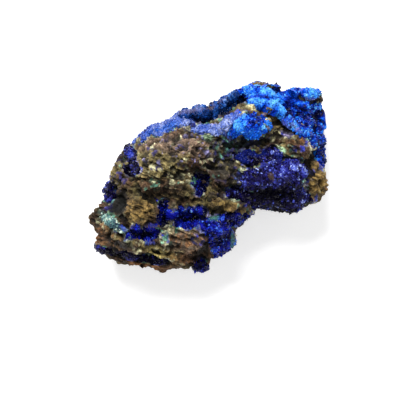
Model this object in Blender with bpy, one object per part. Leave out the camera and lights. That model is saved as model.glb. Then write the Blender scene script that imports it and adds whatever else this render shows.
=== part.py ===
"""Azurite specimen: broken brown ironstone with crusts of blue azurite crystals on it and in its hollows.

The stone lies on its broken back, which is flat where it touches the table. +Z is up, out of its show face,
and +X runs along its length. The origin is under the middle of the stone, on the table.
Lengths below are in millimetres, and MM turns them into metres when a mesh is made.
"""

import bmesh
import bpy
import numpy as np
from mathutils import Vector
from mathutils.bvhtree import BVHTree

MM = 0.001

# The stone's size. Its length and width come from the outline, and its thickness from the heights below.
RIM_HEIGHT = 7.5  # mean height of the widest line round the stone
RIM_WAVE = 1.0  # how far that line rises and dips
RIM_BAND = 1.6  # width of the upright band along that line
LOOSE_OVAL = 21.0, 11.5, 27.0  # the oval the outline follows loosely: half length, half width, turn
BACK_CELLS = 28, 16  # grid cells along and across the back: the show face has twice as many
BOX_OUT, BOX_UP = 0.75, 0.32  # how square the section is: 1 and 1 make an ellipse, and less is boxier
BACK_UNEVEN = 3.0  # how rough the broken back is
BACK_CUT = 0.8  # how much of that roughness the resting face takes off
UNDERCUT = 3.2  # how far the foot of the wall is broken away inwards
COARSE, FINE = 0.6, 0.35  # height of the broken surface's larger and smaller lumps
INSET = 0.7  # the stone's wall stands this far inside its outline, which its lumps then reach

# The crusts.
GAP = 0.3  # clearance under a crust
CRUST = 0.6  # a crust without its crystals
CRYSTAL = 0.5  # mean height of its crystals
CRYSTAL_SHARE = 0.4  # share of its face that is drawn out into them

# The stone's outline seen from above, anticlockwise from the right-hand end.
OUTLINE = (
    (19.8, 0.2), (19.2, 1.9), (19.2, 4.0), (19.3, 6.6), (19.5, 8.8), (19.0, 10.4), (18.1, 11.7),
    (19.1, 12.9), (18.5, 14.0), (16.0, 14.1), (14.3, 14.4), (12.9, 14.0), (11.6, 15.0), (9.9, 15.4),
    (8.5, 15.7), (6.8, 14.8), (4.6, 13.9), (3.2, 12.9), (2.0, 12.0), (0.4, 11.3), (-1.4, 11.1),
    (-3.1, 11.1), (-4.8, 10.5), (-6.3, 9.4), (-7.9, 8.6), (-9.5, 7.9), (-10.6, 6.8), (-12.2, 5.4),
    (-14.1, 4.2), (-15.2, 3.2), (-15.8, 1.0), (-16.7, -1.4), (-17.4, -3.2), (-18.4, -4.9), (-19.6, -7.2),
    (-18.6, -9.3), (-18.7, -11.5), (-17.4, -13.1), (-14.8, -14.4), (-12.0, -15.5), (-8.6, -15.9),
    (-4.8, -15.5), (-2.7, -15.3), (-2.1, -16.1), (-0.1, -16.0), (0.3, -14.0), (1.9, -13.4),
    (3.3, -12.1), (4.4, -10.3), (5.3, -8.6), (6.4, -7.3), (7.9, -6.4), (7.6, -5.2), (7.9, -4.7),
    (9.2, -4.9), (11.6, -5.4), (14.2, -5.5), (16.1, -4.8), (18.5, -3.9), (19.7, -2.4),
)

# Heights of the show face above the table, at places about 4 mm apart: (x, y, height).
HEIGHTS = (
    # the back edge and the ridge behind the trench, left to right
    (-14.0, 4.0, 11.5), (-10.5, 6.6, 12.0), (-6.5, 9.2, 13.0), (-3.0, 10.2, 15.5), (0.6, 10.6, 16.0),
    (3.4, 12.4, 16.0), (5.6, 13.8, 15.0), (8.5, 14.6, 13.5), (12.0, 14.2, 12.0), (16.0, 13.6, 11.0),
    (18.3, 13.0, 9.5),
    # the front lip of the trench and the shoulder beside it
    (-9.5, 5.6, 16.0), (-5.5, 7.6, 16.0), (-2.0, 7.6, 17.0), (2.0, 7.8, 17.6), (4.2, 9.6, 17.0),
    # the crown and the right-hand face
    (6.6, 11.6, 16.4), (9.5, 12.8, 14.8), (12.5, 12.6, 14.0), (15.0, 10.8, 14.4), (12.2, 10.0, 15.6),
    (15.4, 7.6, 15.8), (17.6, 7.4, 12.8), (18.9, 9.4, 9.5), (18.9, 4.0, 9.5),
    # the brown bulge on the left, and the band below it
    (-8.0, 3.6, 19.0), (-3.6, 4.2, 19.2), (-11.0, 2.2, 17.6), (-13.6, 0.8, 14.6), (-9.0, -1.2, 17.8),
    (-4.6, -1.4, 18.0), (-12.6, -1.6, 16.4), (-16.2, -2.2, 11.6),
    # the middle
    (0.8, 4.2, 17.4), (3.6, 3.4, 15.4), (1.6, 0.0, 16.6), (1.0, -3.2, 16.2), (7.0, 7.8, 17.2),
    (9.6, 9.4, 16.8), (12.4, 6.6, 16.4), (9.8, 5.4, 15.4),
    # the lower right: a boss of crystals, its dark underside, and the knob at the end
    (6.4, 2.6, 16.0), (8.4, 0.4, 16.8), (11.0, 1.6, 16.8), (13.4, 1.0, 17.2), (15.2, -0.4, 16.4),
    (15.0, 3.8, 16.2), (9.0, -3.4, 13.6), (13.0, -3.8, 13.2), (17.6, 0.4, 15.0), (17.9, -2.4, 13.4),
    (5.0, -3.0, 13.6),
    # the lower left
    (-14.6, -4.6, 14.6), (-18.2, -6.4, 10.4), (-10.8, -5.6, 16.4), (-6.4, -5.4, 16.8), (-15.0, -8.0, 15.2),
    (-10.0, -8.0, 16.4), (-17.6, -10.4, 11.4), (-12.8, -11.0, 14.4), (-15.0, -12.6, 10.4),
    (-9.0, -13.4, 11.8), (-3.0, -9.6, 16.6), (-5.0, -12.4, 14.0), (-2.4, -4.4, 17.0), (-1.0, -13.8, 10.6),
    (1.4, -8.2, 14.6), (4.2, -5.6, 14.6), (4.2, -8.0, 10.6), (2.2, -11.6, 11.6), (6.6, -6.0, 11.6),
)

# Lumps and pits: (x, y, half length, half width, turn in degrees, rise). A pit's rise is negative.
LUMPS = (
    (6.9, 7.6, 3.2, 1.7, -4, 2.0),  # the azure knob
    (6.6, 8.4, 2.0, 1.6, 0, 0.6),  # its top
    (4.8, 4.9, 2.8, 0.8, 4, -1.0),  # the shaded hollow under it
    (-6.4, 3.4, 6.6, 3.0, 8, 1.0),  # the brown bulge
    (-3.5, 9.9, 0.8, 0.6, 20, 0.7),  # lumps on the ridge behind the trench
    (-1.5, 10.3, 0.7, 0.55, 0, 1.4),
    (1.3, 11.1, 0.6, 0.5, 30, 1.3),
    (3.1, 12.5, 0.8, 0.5, 40, 0.9),
    (0.1, 10.6, 0.5, 0.7, 10, -1.2),  # a gap in it
    (3.6, 11.5, 2.2, 1.1, 40, 1.3),  # the trench's floor rises to the right
    (14.8, 4.7, 2.8, 1.4, -10, 1.3),  # the ochre lump
    (16.7, 3.1, 0.7, 0.7, 0, -1.4),  # a small pit in it
    (13.2, 0.2, 2.9, 2.0, 0, 0.6),  # the sparkling boss
    (17.9, -0.8, 1.7, 3.0, 0, 2.2),  # the knob at the right-hand end
    (-3.0, -6.6, 2.1, 1.6, 0, -2.9),  # the round vug
    (-10.0, -9.4, 2.6, 1.15, -3, -3.2),  # the oval vug
    (-1.3, -1.2, 1.4, 1.5, 0, -2.4),  # the vug under the arch
    (-7.0, -6.0, 0.7, 1.7, 0, -2.4),  # the slot
    (-14.7, -4.4, 2.0, 1.6, 10, -2.2),  # the grey hollow
    (-10.8, -5.7, 2.3, 2.1, 0, 1.6),  # the brown lump beside it
    (2.0, -9.8, 2.0, 2.8, 0, 0.9),  # the lower druse
    (-17.0, -8.6, 1.3, 1.2, 0, 0.9),  # the left-hand corner
    (-14.4, 1.4, 1.1, 1.7, 0, 0.9),  # the lump by the left-hand edge
    (11.2, 13.7, 0.9, 0.5, 0, -1.4),  # the dimple in the crown
)

# Ridges and grooves: (points along it, half width, rise). A groove's rise is negative.
RIDGES = (
    # the trench, its lip and the ridge behind it
    (((-2.6, 8.9), (-0.8, 8.8), (0.8, 9.0), (2.2, 10.0), (3.8, 11.3), (5.6, 12.6)), 1.2, -5.4),
    (((-3.2, 7.6), (0.4, 7.0), (2.8, 7.7), (4.1, 9.1), (6.2, 11.0), (8.9, 11.3), (11.3, 10.1)), 0.8, 1.2),
    (((-6.6, 9.2), (-3.2, 10.0), (-0.4, 10.4)), 0.6, 1.6),
    (((0.8, 11.1), (2.4, 12.1), (4.7, 13.6)), 0.45, 1.0),
    (((12.6, 8.7), (13.8, 7.8), (15.3, 6.6)), 0.5, 0.5),  # the edge of the right-hand face
    (((4.4, 9.7), (5.8, 10.8), (7.6, 10.9), (9.2, 10.0), (10.3, 8.4)), 0.6, -1.0),  # the ochre saddle
    (((10.2, 9.4), (11.4, 8.3), (12.9, 7.2)), 0.6, -1.2),  # the dark wedge
    (((12.4, 11.0), (14.2, 10.8), (16.0, 9.8), (17.8, 9.6)), 0.8, -1.3),  # the furrow in the right-hand face
    (((13.4, 13.5), (15.6, 13.4), (17.8, 13.1)), 0.9, 2.0),  # the horn
    (((13.5, 12.6), (15.0, 12.5), (17.4, 12.2)), 0.5, -1.4),  # the groove under the horn
    (((16.2, 2.4), (16.2, -0.8), (16.1, -4.2)), 0.5, -1.6),  # the seam beside the end knob
    (((4.2, -0.7), (5.4, -1.1), (6.9, -1.6)), 0.5, 0.8),  # the pale sliver
    (((-0.2, -4.4), (2.5, -4.6), (5.2, -4.9), (7.0, -5.7)), 0.6, 1.6),  # the rim of the pointed ledge
    (((-5.3, -5.0), (-5.5, -7.0), (-5.9, -8.6), (-6.9, -9.7)), 0.6, 1.3),  # the pale rib between the vugs
    (((-12.8, -10.2), (-10.4, -11.0), (-7.2, -10.6)), 0.6, 0.9),  # the lip of the oval vug
    (((-12.3, -8.8), (-13.2, -7.7), (-13.7, -6.6)), 0.5, -0.9),  # the vein that leads to it
    # the foot's ridge, and the seam below it
    (((-16.6, -10.6), (-13.4, -11.2), (-10.0, -12.2), (-7.4, -13.1), (-4.8, -14.0)), 0.6, 1.0),
    (((-17.0, -11.9), (-13.2, -12.9), (-9.2, -13.8), (-6.4, -14.4)), 0.9, -0.8),
    (((-12.5, 4.6), (-12.8, 2.0), (-12.4, 0.3)), 0.7, -1.0),  # the valley by the left-hand edge
    (((3.3, -8.0), (3.9, -10.0), (3.2, -12.2)), 0.5, 0.8),  # the rim of the lower druse
)

# Ledges: (points along the edge, drop, reach). The higher side is on the left of the line of points.
LEDGES = (
    (((-13.4, -0.3), (-7.8, -0.2), (-6.6, 0.9), (-4.8, 1.4), (-2.0, 1.3), (0.2, 2.0)), 1.6, 1.6),  # the bulge
    (((-14.2, -1.4), (-12.0, -2.2), (-9.0, -2.6), (-6.0, -2.5), (-3.8, -3.1)), 2.4, 1.8),  # the band
    (((-5.0, 0.6), (-2.5, 1.0), (-0.4, 0.5), (0.5, -0.6), (0.9, -2.0), (0.6, -3.2)), 1.8, 0.9),  # the arch
    (((-5.2, -4.7), (-3.0, -4.3), (-0.4, -4.6)), 0.7, 0.8),  # the round vug's brow
    (((11.2, 10.2), (12.1, 8.7), (13.6, 7.6), (15.2, 6.4), (16.8, 5.0), (17.8, 2.8)), 1.0, 1.6),  # right face
    (((12.4, 12.2), (15.0, 11.9), (18.0, 11.7)), 1.0, 1.2),  # the bench under the horn
    (((2.6, -1.5), (6.0, -1.9), (9.0, -1.9), (12.0, -2.0), (15.6, -1.7)), 1.2, 1.2),  # the dark underside
    (((12.2, 3.0), (14.6, 2.6), (17.0, 2.3)), 1.4, 1.0),  # under the ochre lump
    (((4.2, 6.9), (5.8, 6.0), (7.4, 5.5), (9.4, 6.3)), 1.8, 1.2),  # under the knob
    (((9.6, 5.0), (11.4, 4.4), (12.6, 3.0)), 1.0, 1.0),  # beside the green fleck
)

# Where each crust grows: ovals as (x, y, half length, half width, turn in degrees), and how far down it
# reaches.
CRUSTS = {
    "azurite_crown_crust": (
        ((8.8, 13.9, 4.8, 2.2, -3), (9.2, 11.8, 3.0, 0.9, -4), (13.2, 12.2, 3.6, 1.6, -35),
         (16.0, 9.8, 3.8, 2.4, -12), (17.4, 7.6, 2.6, 3.2, 0), (18.8, 4.2, 1.5, 2.8, 0),
         (11.4, 10.2, 1.5, 0.8, -50), (13.8, 7.9, 2.4, 0.6, -38)), 3.5),
    "azurite_shoulder_crust": (
        ((-10.6, 6.6, 2.4, 1.1, 32), (-7.2, 8.0, 2.8, 1.5, 22), (-4.0, 8.0, 2.4, 0.8, 6),
         (0.4, 7.2, 3.2, 0.8, -4), (3.6, 8.5, 1.7, 0.7, 42)), 6.0),
    "azurite_trench_crust": (
        ((-0.8, 9.6, 3.2, 1.4, 6), (1.9, 10.6, 2.8, 1.5, 34), (4.6, 12.6, 2.8, 1.4, 44)), 8.0),
    "azurite_knob": (((6.6, 7.6, 3.3, 1.9, -4), (6.7, 8.5, 2.4, 1.8, 0), (7.2, 6.6, 1.6, 1.0, 0)), 6.0),
    "azurite_horn": (((16.0, 13.8, 3.1, 1.2, -3),), 3.0),
    "azurite_boss_druse": (
        ((6.6, 2.8, 2.6, 1.2, -4), (10.4, 3.0, 2.0, 1.4, -30), (13.0, 0.5, 3.2, 2.2, 0),
         (8.6, -0.4, 3.6, 2.0, 0), (11.0, -3.6, 5.4, 2.6, 0), (5.4, -3.2, 3.6, 1.1, -6)), 4.0),
    "azurite_notch_crust": (
        ((-2.9, -6.6, 2.5, 1.8, 0), (0.3, -8.0, 1.8, 1.4, -20), (2.1, -10.2, 1.9, 2.9, 0),
         (4.2, -7.0, 3.4, 1.3, 4)), 5.0),
    "azurite_oval_vug": (((-10.0, -9.4, 2.9, 1.4, -3),), 6.0),
    "azurite_arch_vug": (((-1.4, -1.3, 1.5, 1.7, 0),), 6.0),
    "azurite_slot_vug": (((-7.0, -6.0, 0.9, 1.9, 0),), 6.0),
    "azurite_foot_seam": (
        ((-16.2, -12.0, 2.3, 0.7, -18), (-12.2, -13.1, 2.6, 0.6, -14), (-8.6, -13.8, 2.2, 0.5, -8)), 6.0),
    "azurite_stub": (((-1.1, -15.2, 1.3, 1.5, 0),), 5.0),
    "azurite_left_vein": (((-12.5, 3.4, 0.9, 1.4, 0), (-12.0, 1.0, 1.5, 1.1, -5)), 6.0),
    "azurite_edge_patch": (((-16.3, -1.8, 1.0, 1.1, 0), (-15.7, -3.2, 0.8, 1.3, -20)), 6.0),
    "malachite_patch": (((-15.3, -7.5, 2.6, 0.9, -32),), 6.0),
}

# Colour, roughness and metallic value of each finish.
FINISHES = {
    "ironstone": ((0.16, 0.115, 0.055), 0.85, 0.0),
    "azurite": ((0.01, 0.06, 0.5), 0.3, 0.0),
    "azurite_bright": ((0.02, 0.2, 0.75), 0.3, 0.0),
    "azurite_dark": ((0.012, 0.01, 0.16), 0.3, 0.0),
    "malachite": ((0.16, 0.42, 0.34), 0.6, 0.0),
}
FINISH_OF = {
    "azurite_crown_crust": "azurite_bright",
    "azurite_shoulder_crust": "azurite_bright",
    "azurite_knob": "azurite_bright",
    "azurite_horn": "azurite_bright",
    "azurite_foot_seam": "azurite_dark",
    "azurite_edge_patch": "azurite_dark",
    "azurite_boss_druse": "azurite_dark",
    "malachite_patch": "malachite",
}


def lattice_value(corner, seed):
    """A fixed value from -1 to 1 for each whole-number corner of a lattice."""
    mixed = corner @ np.array([127.1, 311.7, 74.7]) + seed * 19.3
    return 2 * np.modf(np.abs(np.sin(mixed) * 43758.5453))[0] - 1


def noise(points, size, seed):
    """Smooth noise from -1 to 1, with lumps of about that size: values at a lattice's corners, blended."""
    place = points / size
    low = np.floor(place)
    share = place - low
    share = share * share * (3 - 2 * share)
    total = np.zeros(len(points))
    for corner in np.ndindex(2, 2, 2):
        weight = np.prod(np.where(corner, share, 1 - share), axis=1)
        total += weight * lattice_value(low + corner, seed)
    return total


def oval_distance(x, y, oval):
    """Distance from an oval's centre, as a share of the way to its edge."""
    centre_x, centre_y, length, width, turn = oval
    turn = np.radians(turn)
    along = (x - centre_x) * np.cos(turn) + (y - centre_y) * np.sin(turn)
    across = (y - centre_y) * np.cos(turn) - (x - centre_x) * np.sin(turn)
    return np.hypot(along / length, across / width)


def line_distance(x, y, points):
    """Distance from a line of points, which is positive on the line's left."""
    best = np.full(x.shape, np.inf)
    side = np.ones(x.shape)
    for (x0, y0), (x1, y1) in zip(points, points[1:]):
        run_x, run_y = x1 - x0, y1 - y0
        share = np.clip(((x - x0) * run_x + (y - y0) * run_y) / (run_x**2 + run_y**2), 0, 1)
        distance = np.hypot(x - x0 - share * run_x, y - y0 - share * run_y)
        nearer = distance < best
        side = np.where(nearer, np.sign(run_x * (y - y0) - run_y * (x - x0)), side)
        best = np.where(nearer, distance, best)
    return best * side


def face_height(x, y):
    """The show face: heights blended between the places given, with the lumps, ridges and ledges added."""
    weighted, weights = np.zeros(x.shape), np.zeros(x.shape)
    for place_x, place_y, height in HEIGHTS:
        weight = 1 / ((x - place_x) ** 2 + (y - place_y) ** 2 + 0.8) ** 2
        weighted += weight * height
        weights += weight
    height = weighted / weights
    for *oval, rise in LUMPS:
        height += rise * np.exp(-oval_distance(x, y, oval) ** 4)
    for points, width, rise in RIDGES:
        height += rise * np.exp(-(line_distance(x, y, points) / width) ** 2)
    for points, drop, reach in LEDGES:
        distance = line_distance(x, y, points)
        height += drop / 2 * np.tanh(distance / 0.4) * np.exp(-np.abs(distance) / reach)
    return height


def back_height(x, y):
    """The broken back before it is cut flat: below nought where it rests on the table."""
    flat = np.column_stack((x, y, np.zeros_like(x)))
    uneven = noise(flat, 7.0, 3) + 0.5 * noise(flat, 3.0, 4)
    return BACK_UNEVEN * uneven * (1 - np.exp(-(x**2 + y**2) / 30)) - BACK_CUT


def disc_place(along, across):
    """Turns a square of grid points into the stone's oval: (share of the way to the rim, angle)."""
    out_x = along * np.sqrt(1 - across**2 / 2)
    out_y = across * np.sqrt(1 - along**2 / 2)
    half_length, half_width, turn = LOOSE_OVAL
    angle = np.arctan2(out_y * half_width, out_x * half_length) + np.radians(turn)
    return np.minimum(np.hypot(out_x, out_y), 1), angle


def outline_reach(angle):
    """How far the outline is from the middle in that direction."""
    corners = np.array(OUTLINE)
    angles = np.arctan2(corners[:, 1], corners[:, 0])
    order = np.argsort(angles)
    return np.interp(angle, angles[order], np.hypot(*corners.T)[order], period=2 * np.pi) - INSET


def section_steps(ring):
    """The stone's section from middle to rim, a rounded box, in steps that are longer down its wall."""
    bend = np.linspace(0, np.pi / 2, 400)
    outward, upward = np.sin(bend) ** BOX_OUT, np.cos(bend) ** BOX_UP
    length = np.insert(np.cumsum(np.hypot(np.diff(outward), 0.2 * np.diff(upward))), 0, 0)
    at = ring * length[-1]
    return np.interp(at, length, outward), np.interp(at, length, upward)


def side_points(cells, height_of, sink):
    """Grid points over one side of the stone, from the rim's line to the height that height_of gives."""
    along, across = np.meshgrid(*(np.linspace(-1, 1, count + 1) for count in cells))
    ring, angle = disc_place(along.ravel(), across.ravel())
    outward, upward = section_steps(ring)
    x = outline_reach(angle) * outward * np.cos(angle)
    y = outline_reach(angle) * outward * np.sin(angle)
    rim = RIM_HEIGHT + RIM_WAVE * (np.sin(2 * angle + 0.6) + 0.6 * np.sin(5 * angle)) - sink
    return np.column_stack((x, y, np.maximum(0, rim + (height_of(x, y) - rim) * upward)))


def add_side(bm, cells, points, facing):
    """Adds the faces of one side, and returns its rim, anticlockwise from the first corner."""
    corners = [bm.verts.new(point) for point in points]
    row, rows = cells[0] + 1, cells[1]
    for first in (i * row + j for i in range(rows) for j in range(cells[0])):
        loop = (first, first + 1, first + row + 1, first + row)
        bm.faces.new([corners[k] for k in loop[::facing]])
    run, rise = np.arange(cells[0]), np.arange(rows)
    rim = (run, cells[0] + rise * row, row * rows + cells[0] - run, (rows - rise) * row)
    return [corners[k] for k in np.concatenate(rim)]


def skin():
    """The whole skin of the stone before it is roughened: two sides and the band that joins their rims."""
    bm = bmesh.new()
    show_cells = 2 * BACK_CELLS[0], 2 * BACK_CELLS[1]
    front = add_side(bm, show_cells, side_points(show_cells, face_height, 0), 1)
    back = add_side(bm, BACK_CELLS, side_points(BACK_CELLS, back_height, RIM_BAND), -1)
    for k, low in enumerate(back):
        next_low, middle, end = back[(k + 1) % len(back)], front[2 * k + 1], front[(2 * k + 2) % len(front)]
        bm.faces.new((low, middle, front[2 * k]))
        bm.faces.new((low, next_low, middle))
        bm.faces.new((next_low, end, middle))
    bm.normal_update()
    return bm


def crust_share(points, crust):
    """Over nought inside a crust's ovals, and at most 1."""
    ovals, lowest = crust
    x, y, z = points.T
    inside = np.max([1 - oval_distance(x, y, oval) for oval in ovals], axis=0)
    return np.where(z > lowest, inside, -1)


def undercut(points):
    """Breaks the foot of the wall away inwards, below the line of the rim."""
    x, y, z = points.T
    reach = np.hypot(x, y)
    near_rim = (reach / outline_reach(np.arctan2(y, x))) ** 4
    below = np.clip(1 - z / RIM_HEIGHT, 0, 1)
    pull = UNDERCUT * below * near_rim * (0.6 + 0.8 * noise(points, 6.0, 5))
    share = 1 - np.clip(pull, 0, None) / np.maximum(reach, 1)
    return np.column_stack((x * share, y * share, z))


def roughen(bm):
    """Breaks the stone's surface into lumps and sinks it under the crusts. Its resting face stays flat."""
    for vert, point in zip(bm.verts, undercut(np.array([v.co for v in bm.verts]))):
        vert.co = point
    bm.normal_update()
    points = np.array([v.co for v in bm.verts])
    normals = np.array([v.normal for v in bm.verts])
    under = np.max([np.clip(crust_share(points, crust) * 4, 0, 1) for crust in CRUSTS.values()], axis=0)
    rise = COARSE * noise(points, 3.6, 1) + FINE * noise(points, 1.9, 2) * (1 - under)
    rise -= (GAP + CRUST) * under
    rise[points[:, 2] < 0.001] = 0
    for vert, point in zip(bm.verts, points + normals * rise[:, None]):
        vert.co = (*point[:2], max(point[2], 0))
    bm.normal_update()


def neighbours(face, patch):
    """The faces of the patch that share an edge with this one."""
    beside = [other for edge in face.edges for other in edge.link_faces if other is not face]
    return [other for other in beside if other in patch]


def open_edges(vert, patch):
    """How many of a corner's edges are on the patch's border."""
    return sum(sum(face in patch for face in edge.link_faces) == 1 for edge in vert.link_edges)


def one_piece(faces):
    """The largest patch of faces joined edge to edge, with no corner where two parts of it only touch."""
    left = set(faces)
    pinched = True
    while pinched:
        corners = sorted({vert for face in left for vert in face.verts}, key=lambda vert: vert.index)
        pinched = [vert for vert in corners if open_edges(vert, left) > 2]
        for vert in pinched[:1]:
            touching = left & set(vert.link_faces)
            left.remove(min(touching, key=lambda face: (len(neighbours(face, left)), face.index)))
    patches = []
    while left:
        patch = {left.pop()}
        front = list(patch)
        while front:
            found = set(neighbours(front.pop(), left))
            left -= found
            patch |= found
            front += found
        patches.append(patch)
    return max(patches, key=len) if patches else []


def growing_directions(bm):
    """The way a crust grows at each corner: the skin's own, evened out so that hollows fill upwards."""
    ways = np.array([v.normal for v in bm.verts])
    pairs = np.array([[v.index for v in edge.verts] for edge in bm.edges])
    for _ in range(2):
        total = ways.copy()
        np.add.at(total, pairs[:, 0], ways[pairs[:, 1]])
        np.add.at(total, pairs[:, 1], ways[pairs[:, 0]])
        ways = total / np.linalg.norm(total, axis=1)[:, None]
    return [Vector(way) for way in ways]


def crowded_corners(stone, ways):
    """The corners in tight folds, from which a crust would run into the stone."""
    tree = BVHTree.FromBMesh(stone)
    starts = [vert.co + way * 0.1 for vert, way in zip(stone.verts, ways)]
    hits = [tree.ray_cast(start, way, 2 * CRUST) for start, way in zip(starts, ways)]
    return {vert for vert, hit in zip(stone.verts, hits) if hit[0]}


def crust_patch(stone, crust, taken):
    """The faces of the stone that a crust covers, which keep clear of the corners that are taken."""
    centres = np.array([face.calc_center_median() for face in stone.faces])
    inside = crust_share(centres, crust) > 0
    free = [not any(vert in taken for vert in face.verts) for face in stone.faces]
    patch = one_piece([face for face, kept in zip(stone.faces, inside & free) if kept])
    taken.update(vert for face in patch for vert in face.verts)
    return sorted(patch, key=lambda face: face.index)


def halves(face):
    """A face as triangles of corner numbers, cut along its shorter diagonal."""
    loop = [vert.index for vert in face.verts]
    if len(loop) == 3:
        return [tuple(loop)]
    across = [(face.verts[k].co - face.verts[k + 2].co).length for k in (0, 1)]
    if across[1] < across[0]:
        loop = loop[1:] + loop[:1]
    return [(loop[0], loop[1], loop[2]), (loop[0], loop[2], loop[3])]


def crust_shell(stone, patch, ways, seed):
    """A crust: a patch of the stone's skin, lifted by the gap and thickened, with points drawn out."""
    rng = np.random.default_rng(seed)
    corners = sorted({vert.index for face in patch for vert in face.verts})
    low = {corner: k for k, corner in enumerate(corners)}
    high = {corner: k + len(corners) for k, corner in enumerate(corners)}
    points = [stone.verts[k].co + ways[k] * GAP for k in corners]
    points += [stone.verts[k].co + ways[k] * (GAP + CRUST) for k in corners]
    faces, sides = [], []
    for face in patch:
        loop = [vert.index for vert in face.verts]
        around = list(zip(loop, loop[1:] + loop[:1]))
        faces += [(low[c], low[b], low[a]) for a, b, c in halves(face)]
        if rng.random() < CRYSTAL_SHARE:
            middle = sum((points[high[k]] for k in loop), Vector()) / len(loop)
            way = sum((ways[k] for k in loop), Vector()).normalized()
            faces += [(high[first], high[second], len(points)) for first, second in around]
            points.append(middle + way * CRYSTAL * rng.uniform(0.5, 1.5))
        else:
            faces += [(high[a], high[b], high[c]) for a, b, c in halves(face)]
        sides += around
    for first, second in sides:
        if (second, first) not in sides:
            faces.append((low[first], low[second], high[second]))
            faces.append((low[first], high[second], high[first]))
    return points, faces


def finish(name):
    """The material of that name, made once."""
    found = bpy.data.materials.get(name)
    if found:
        return found
    colour, roughness, metallic = FINISHES[name]
    material = bpy.data.materials.new(name)
    material.use_nodes = True
    shader = material.node_tree.nodes["Principled BSDF"]
    shader.inputs["Base Color"].default_value = (*colour, 1)
    shader.inputs["Roughness"].default_value = roughness
    shader.inputs["Metallic"].default_value = metallic
    material.diffuse_color = (*colour, 1)
    return material


def add_object(name, points, faces, finish_name):
    """Links a named object made of those points and triangles, in metres, with its finish."""
    mesh = bpy.data.meshes.new(name)
    mesh.from_pydata([tuple(point * MM) for point in points], [], faces)
    mesh.materials.append(finish(finish_name))
    bpy.context.scene.collection.objects.link(bpy.data.objects.new(name, mesh))


def main():
    for old in list(bpy.data.objects):
        bpy.data.objects.remove(old)
    stone = skin()
    roughen(stone)
    stone.verts.index_update()
    stone.verts.ensure_lookup_table()
    stone.faces.index_update()
    ways = growing_directions(stone)
    taken = crowded_corners(stone, ways)
    for seed, (name, crust) in enumerate(CRUSTS.items()):
        patch = crust_patch(stone, crust, taken)
        add_object(name, *crust_shell(stone, patch, ways, seed), FINISH_OF.get(name, "azurite"))
    faces = [triangle for face in stone.faces for triangle in halves(face)]
    add_object("ironstone_matrix", [vert.co for vert in stone.verts], faces, "ironstone")
    stone.free()


main()
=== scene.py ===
import bpy
import numpy as np
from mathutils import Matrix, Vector


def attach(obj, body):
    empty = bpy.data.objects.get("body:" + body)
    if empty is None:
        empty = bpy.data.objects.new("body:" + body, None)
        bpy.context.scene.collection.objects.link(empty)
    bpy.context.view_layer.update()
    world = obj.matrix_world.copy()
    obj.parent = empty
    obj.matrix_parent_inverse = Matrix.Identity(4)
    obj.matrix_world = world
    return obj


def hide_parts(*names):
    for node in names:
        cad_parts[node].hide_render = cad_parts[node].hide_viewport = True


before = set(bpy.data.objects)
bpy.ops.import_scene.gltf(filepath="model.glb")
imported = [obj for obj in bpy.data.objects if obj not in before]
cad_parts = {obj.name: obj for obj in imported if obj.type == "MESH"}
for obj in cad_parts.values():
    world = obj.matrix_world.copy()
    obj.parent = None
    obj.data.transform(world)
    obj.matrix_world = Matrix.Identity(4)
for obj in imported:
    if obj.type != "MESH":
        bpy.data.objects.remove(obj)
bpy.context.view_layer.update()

# --- The stone: its rough shape -----------------------------------------------------------------------
# A lump of ironstone, which is brown limonite and goethite, broken off its wall rock and laid on the
# break. Its skin is one closed sheet: the show face, the wall round it and the back. Lengths are in
# millimetres.

MM = 0.001
RIM_HEIGHT = 7.5  # mean height of the widest line round the stone
RIM_WAVE = 1.0  # how far that line rises and falls
RIM_BAND = 1.6  # width of the upright band along that line
LOOSE_OVAL = 21.0, 11.5, 27.0  # the oval that the outline follows loosely: half length, half width, turn
BACK_CELLS = 88, 50  # grid cells along and across the back: the show face has four times as many
BAND_ROWS, WALL_ROWS = 9, 27  # rows of cells down that band, and down the wall below it
FOOT = 0.66  # where the wall ends and the back begins, as a share of the way from the middle to the rim
BOX_OUT, BOX_UP = 0.75, 0.32  # how square the section is: 1 and 1 make an ellipse, and less is boxier
BACK_UNEVEN, BACK_CUT = 3.0, 0.8  # how rough the broken back is, and how much the resting face takes off
UNDERCUT = 3.2  # how far the foot of the wall is broken away inwards
LEDGE_FACE = 0.4  # how far a ledge's face leans back on each side of its edge
INSET = 0.7  # the stone's wall stands this far inside its outline, which its lumps then reach

# The outline seen from above, anticlockwise from the right-hand end.
OUTLINE = (
    (19.8, 0.2), (19.2, 1.9), (19.2, 4.0), (19.3, 6.6), (19.5, 8.8), (19.0, 10.4), (18.1, 11.7),
    (19.1, 12.9), (18.5, 14.0), (16.0, 14.1), (14.3, 14.4), (12.9, 14.0), (11.6, 15.0), (9.9, 15.4),
    (8.5, 15.7), (6.8, 14.8), (4.6, 13.9), (3.2, 12.9), (2.0, 12.0), (0.4, 11.3), (-1.4, 11.1),
    (-3.1, 11.1), (-4.8, 10.5), (-6.3, 9.4), (-7.9, 8.6), (-9.5, 7.9), (-10.6, 6.8), (-12.2, 5.4),
    (-14.1, 4.2), (-15.2, 3.2), (-15.8, 1.0), (-16.7, -1.4), (-17.4, -3.2), (-18.4, -4.9), (-19.6, -7.2),
    (-18.6, -9.3), (-18.7, -11.5), (-17.4, -13.1), (-14.8, -14.4), (-12.0, -15.5), (-8.6, -15.9),
    (-4.8, -15.5), (-2.7, -15.3), (-2.1, -16.1), (-0.1, -16.0), (0.3, -14.0), (1.9, -13.4),
    (3.3, -12.1), (4.4, -10.3), (5.3, -8.6), (6.4, -7.3), (7.9, -6.4), (7.6, -5.2), (7.9, -4.7),
    (9.2, -4.9), (11.6, -5.4), (14.2, -5.5), (16.1, -4.8), (18.5, -3.9), (19.7, -2.4),
)

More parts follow.
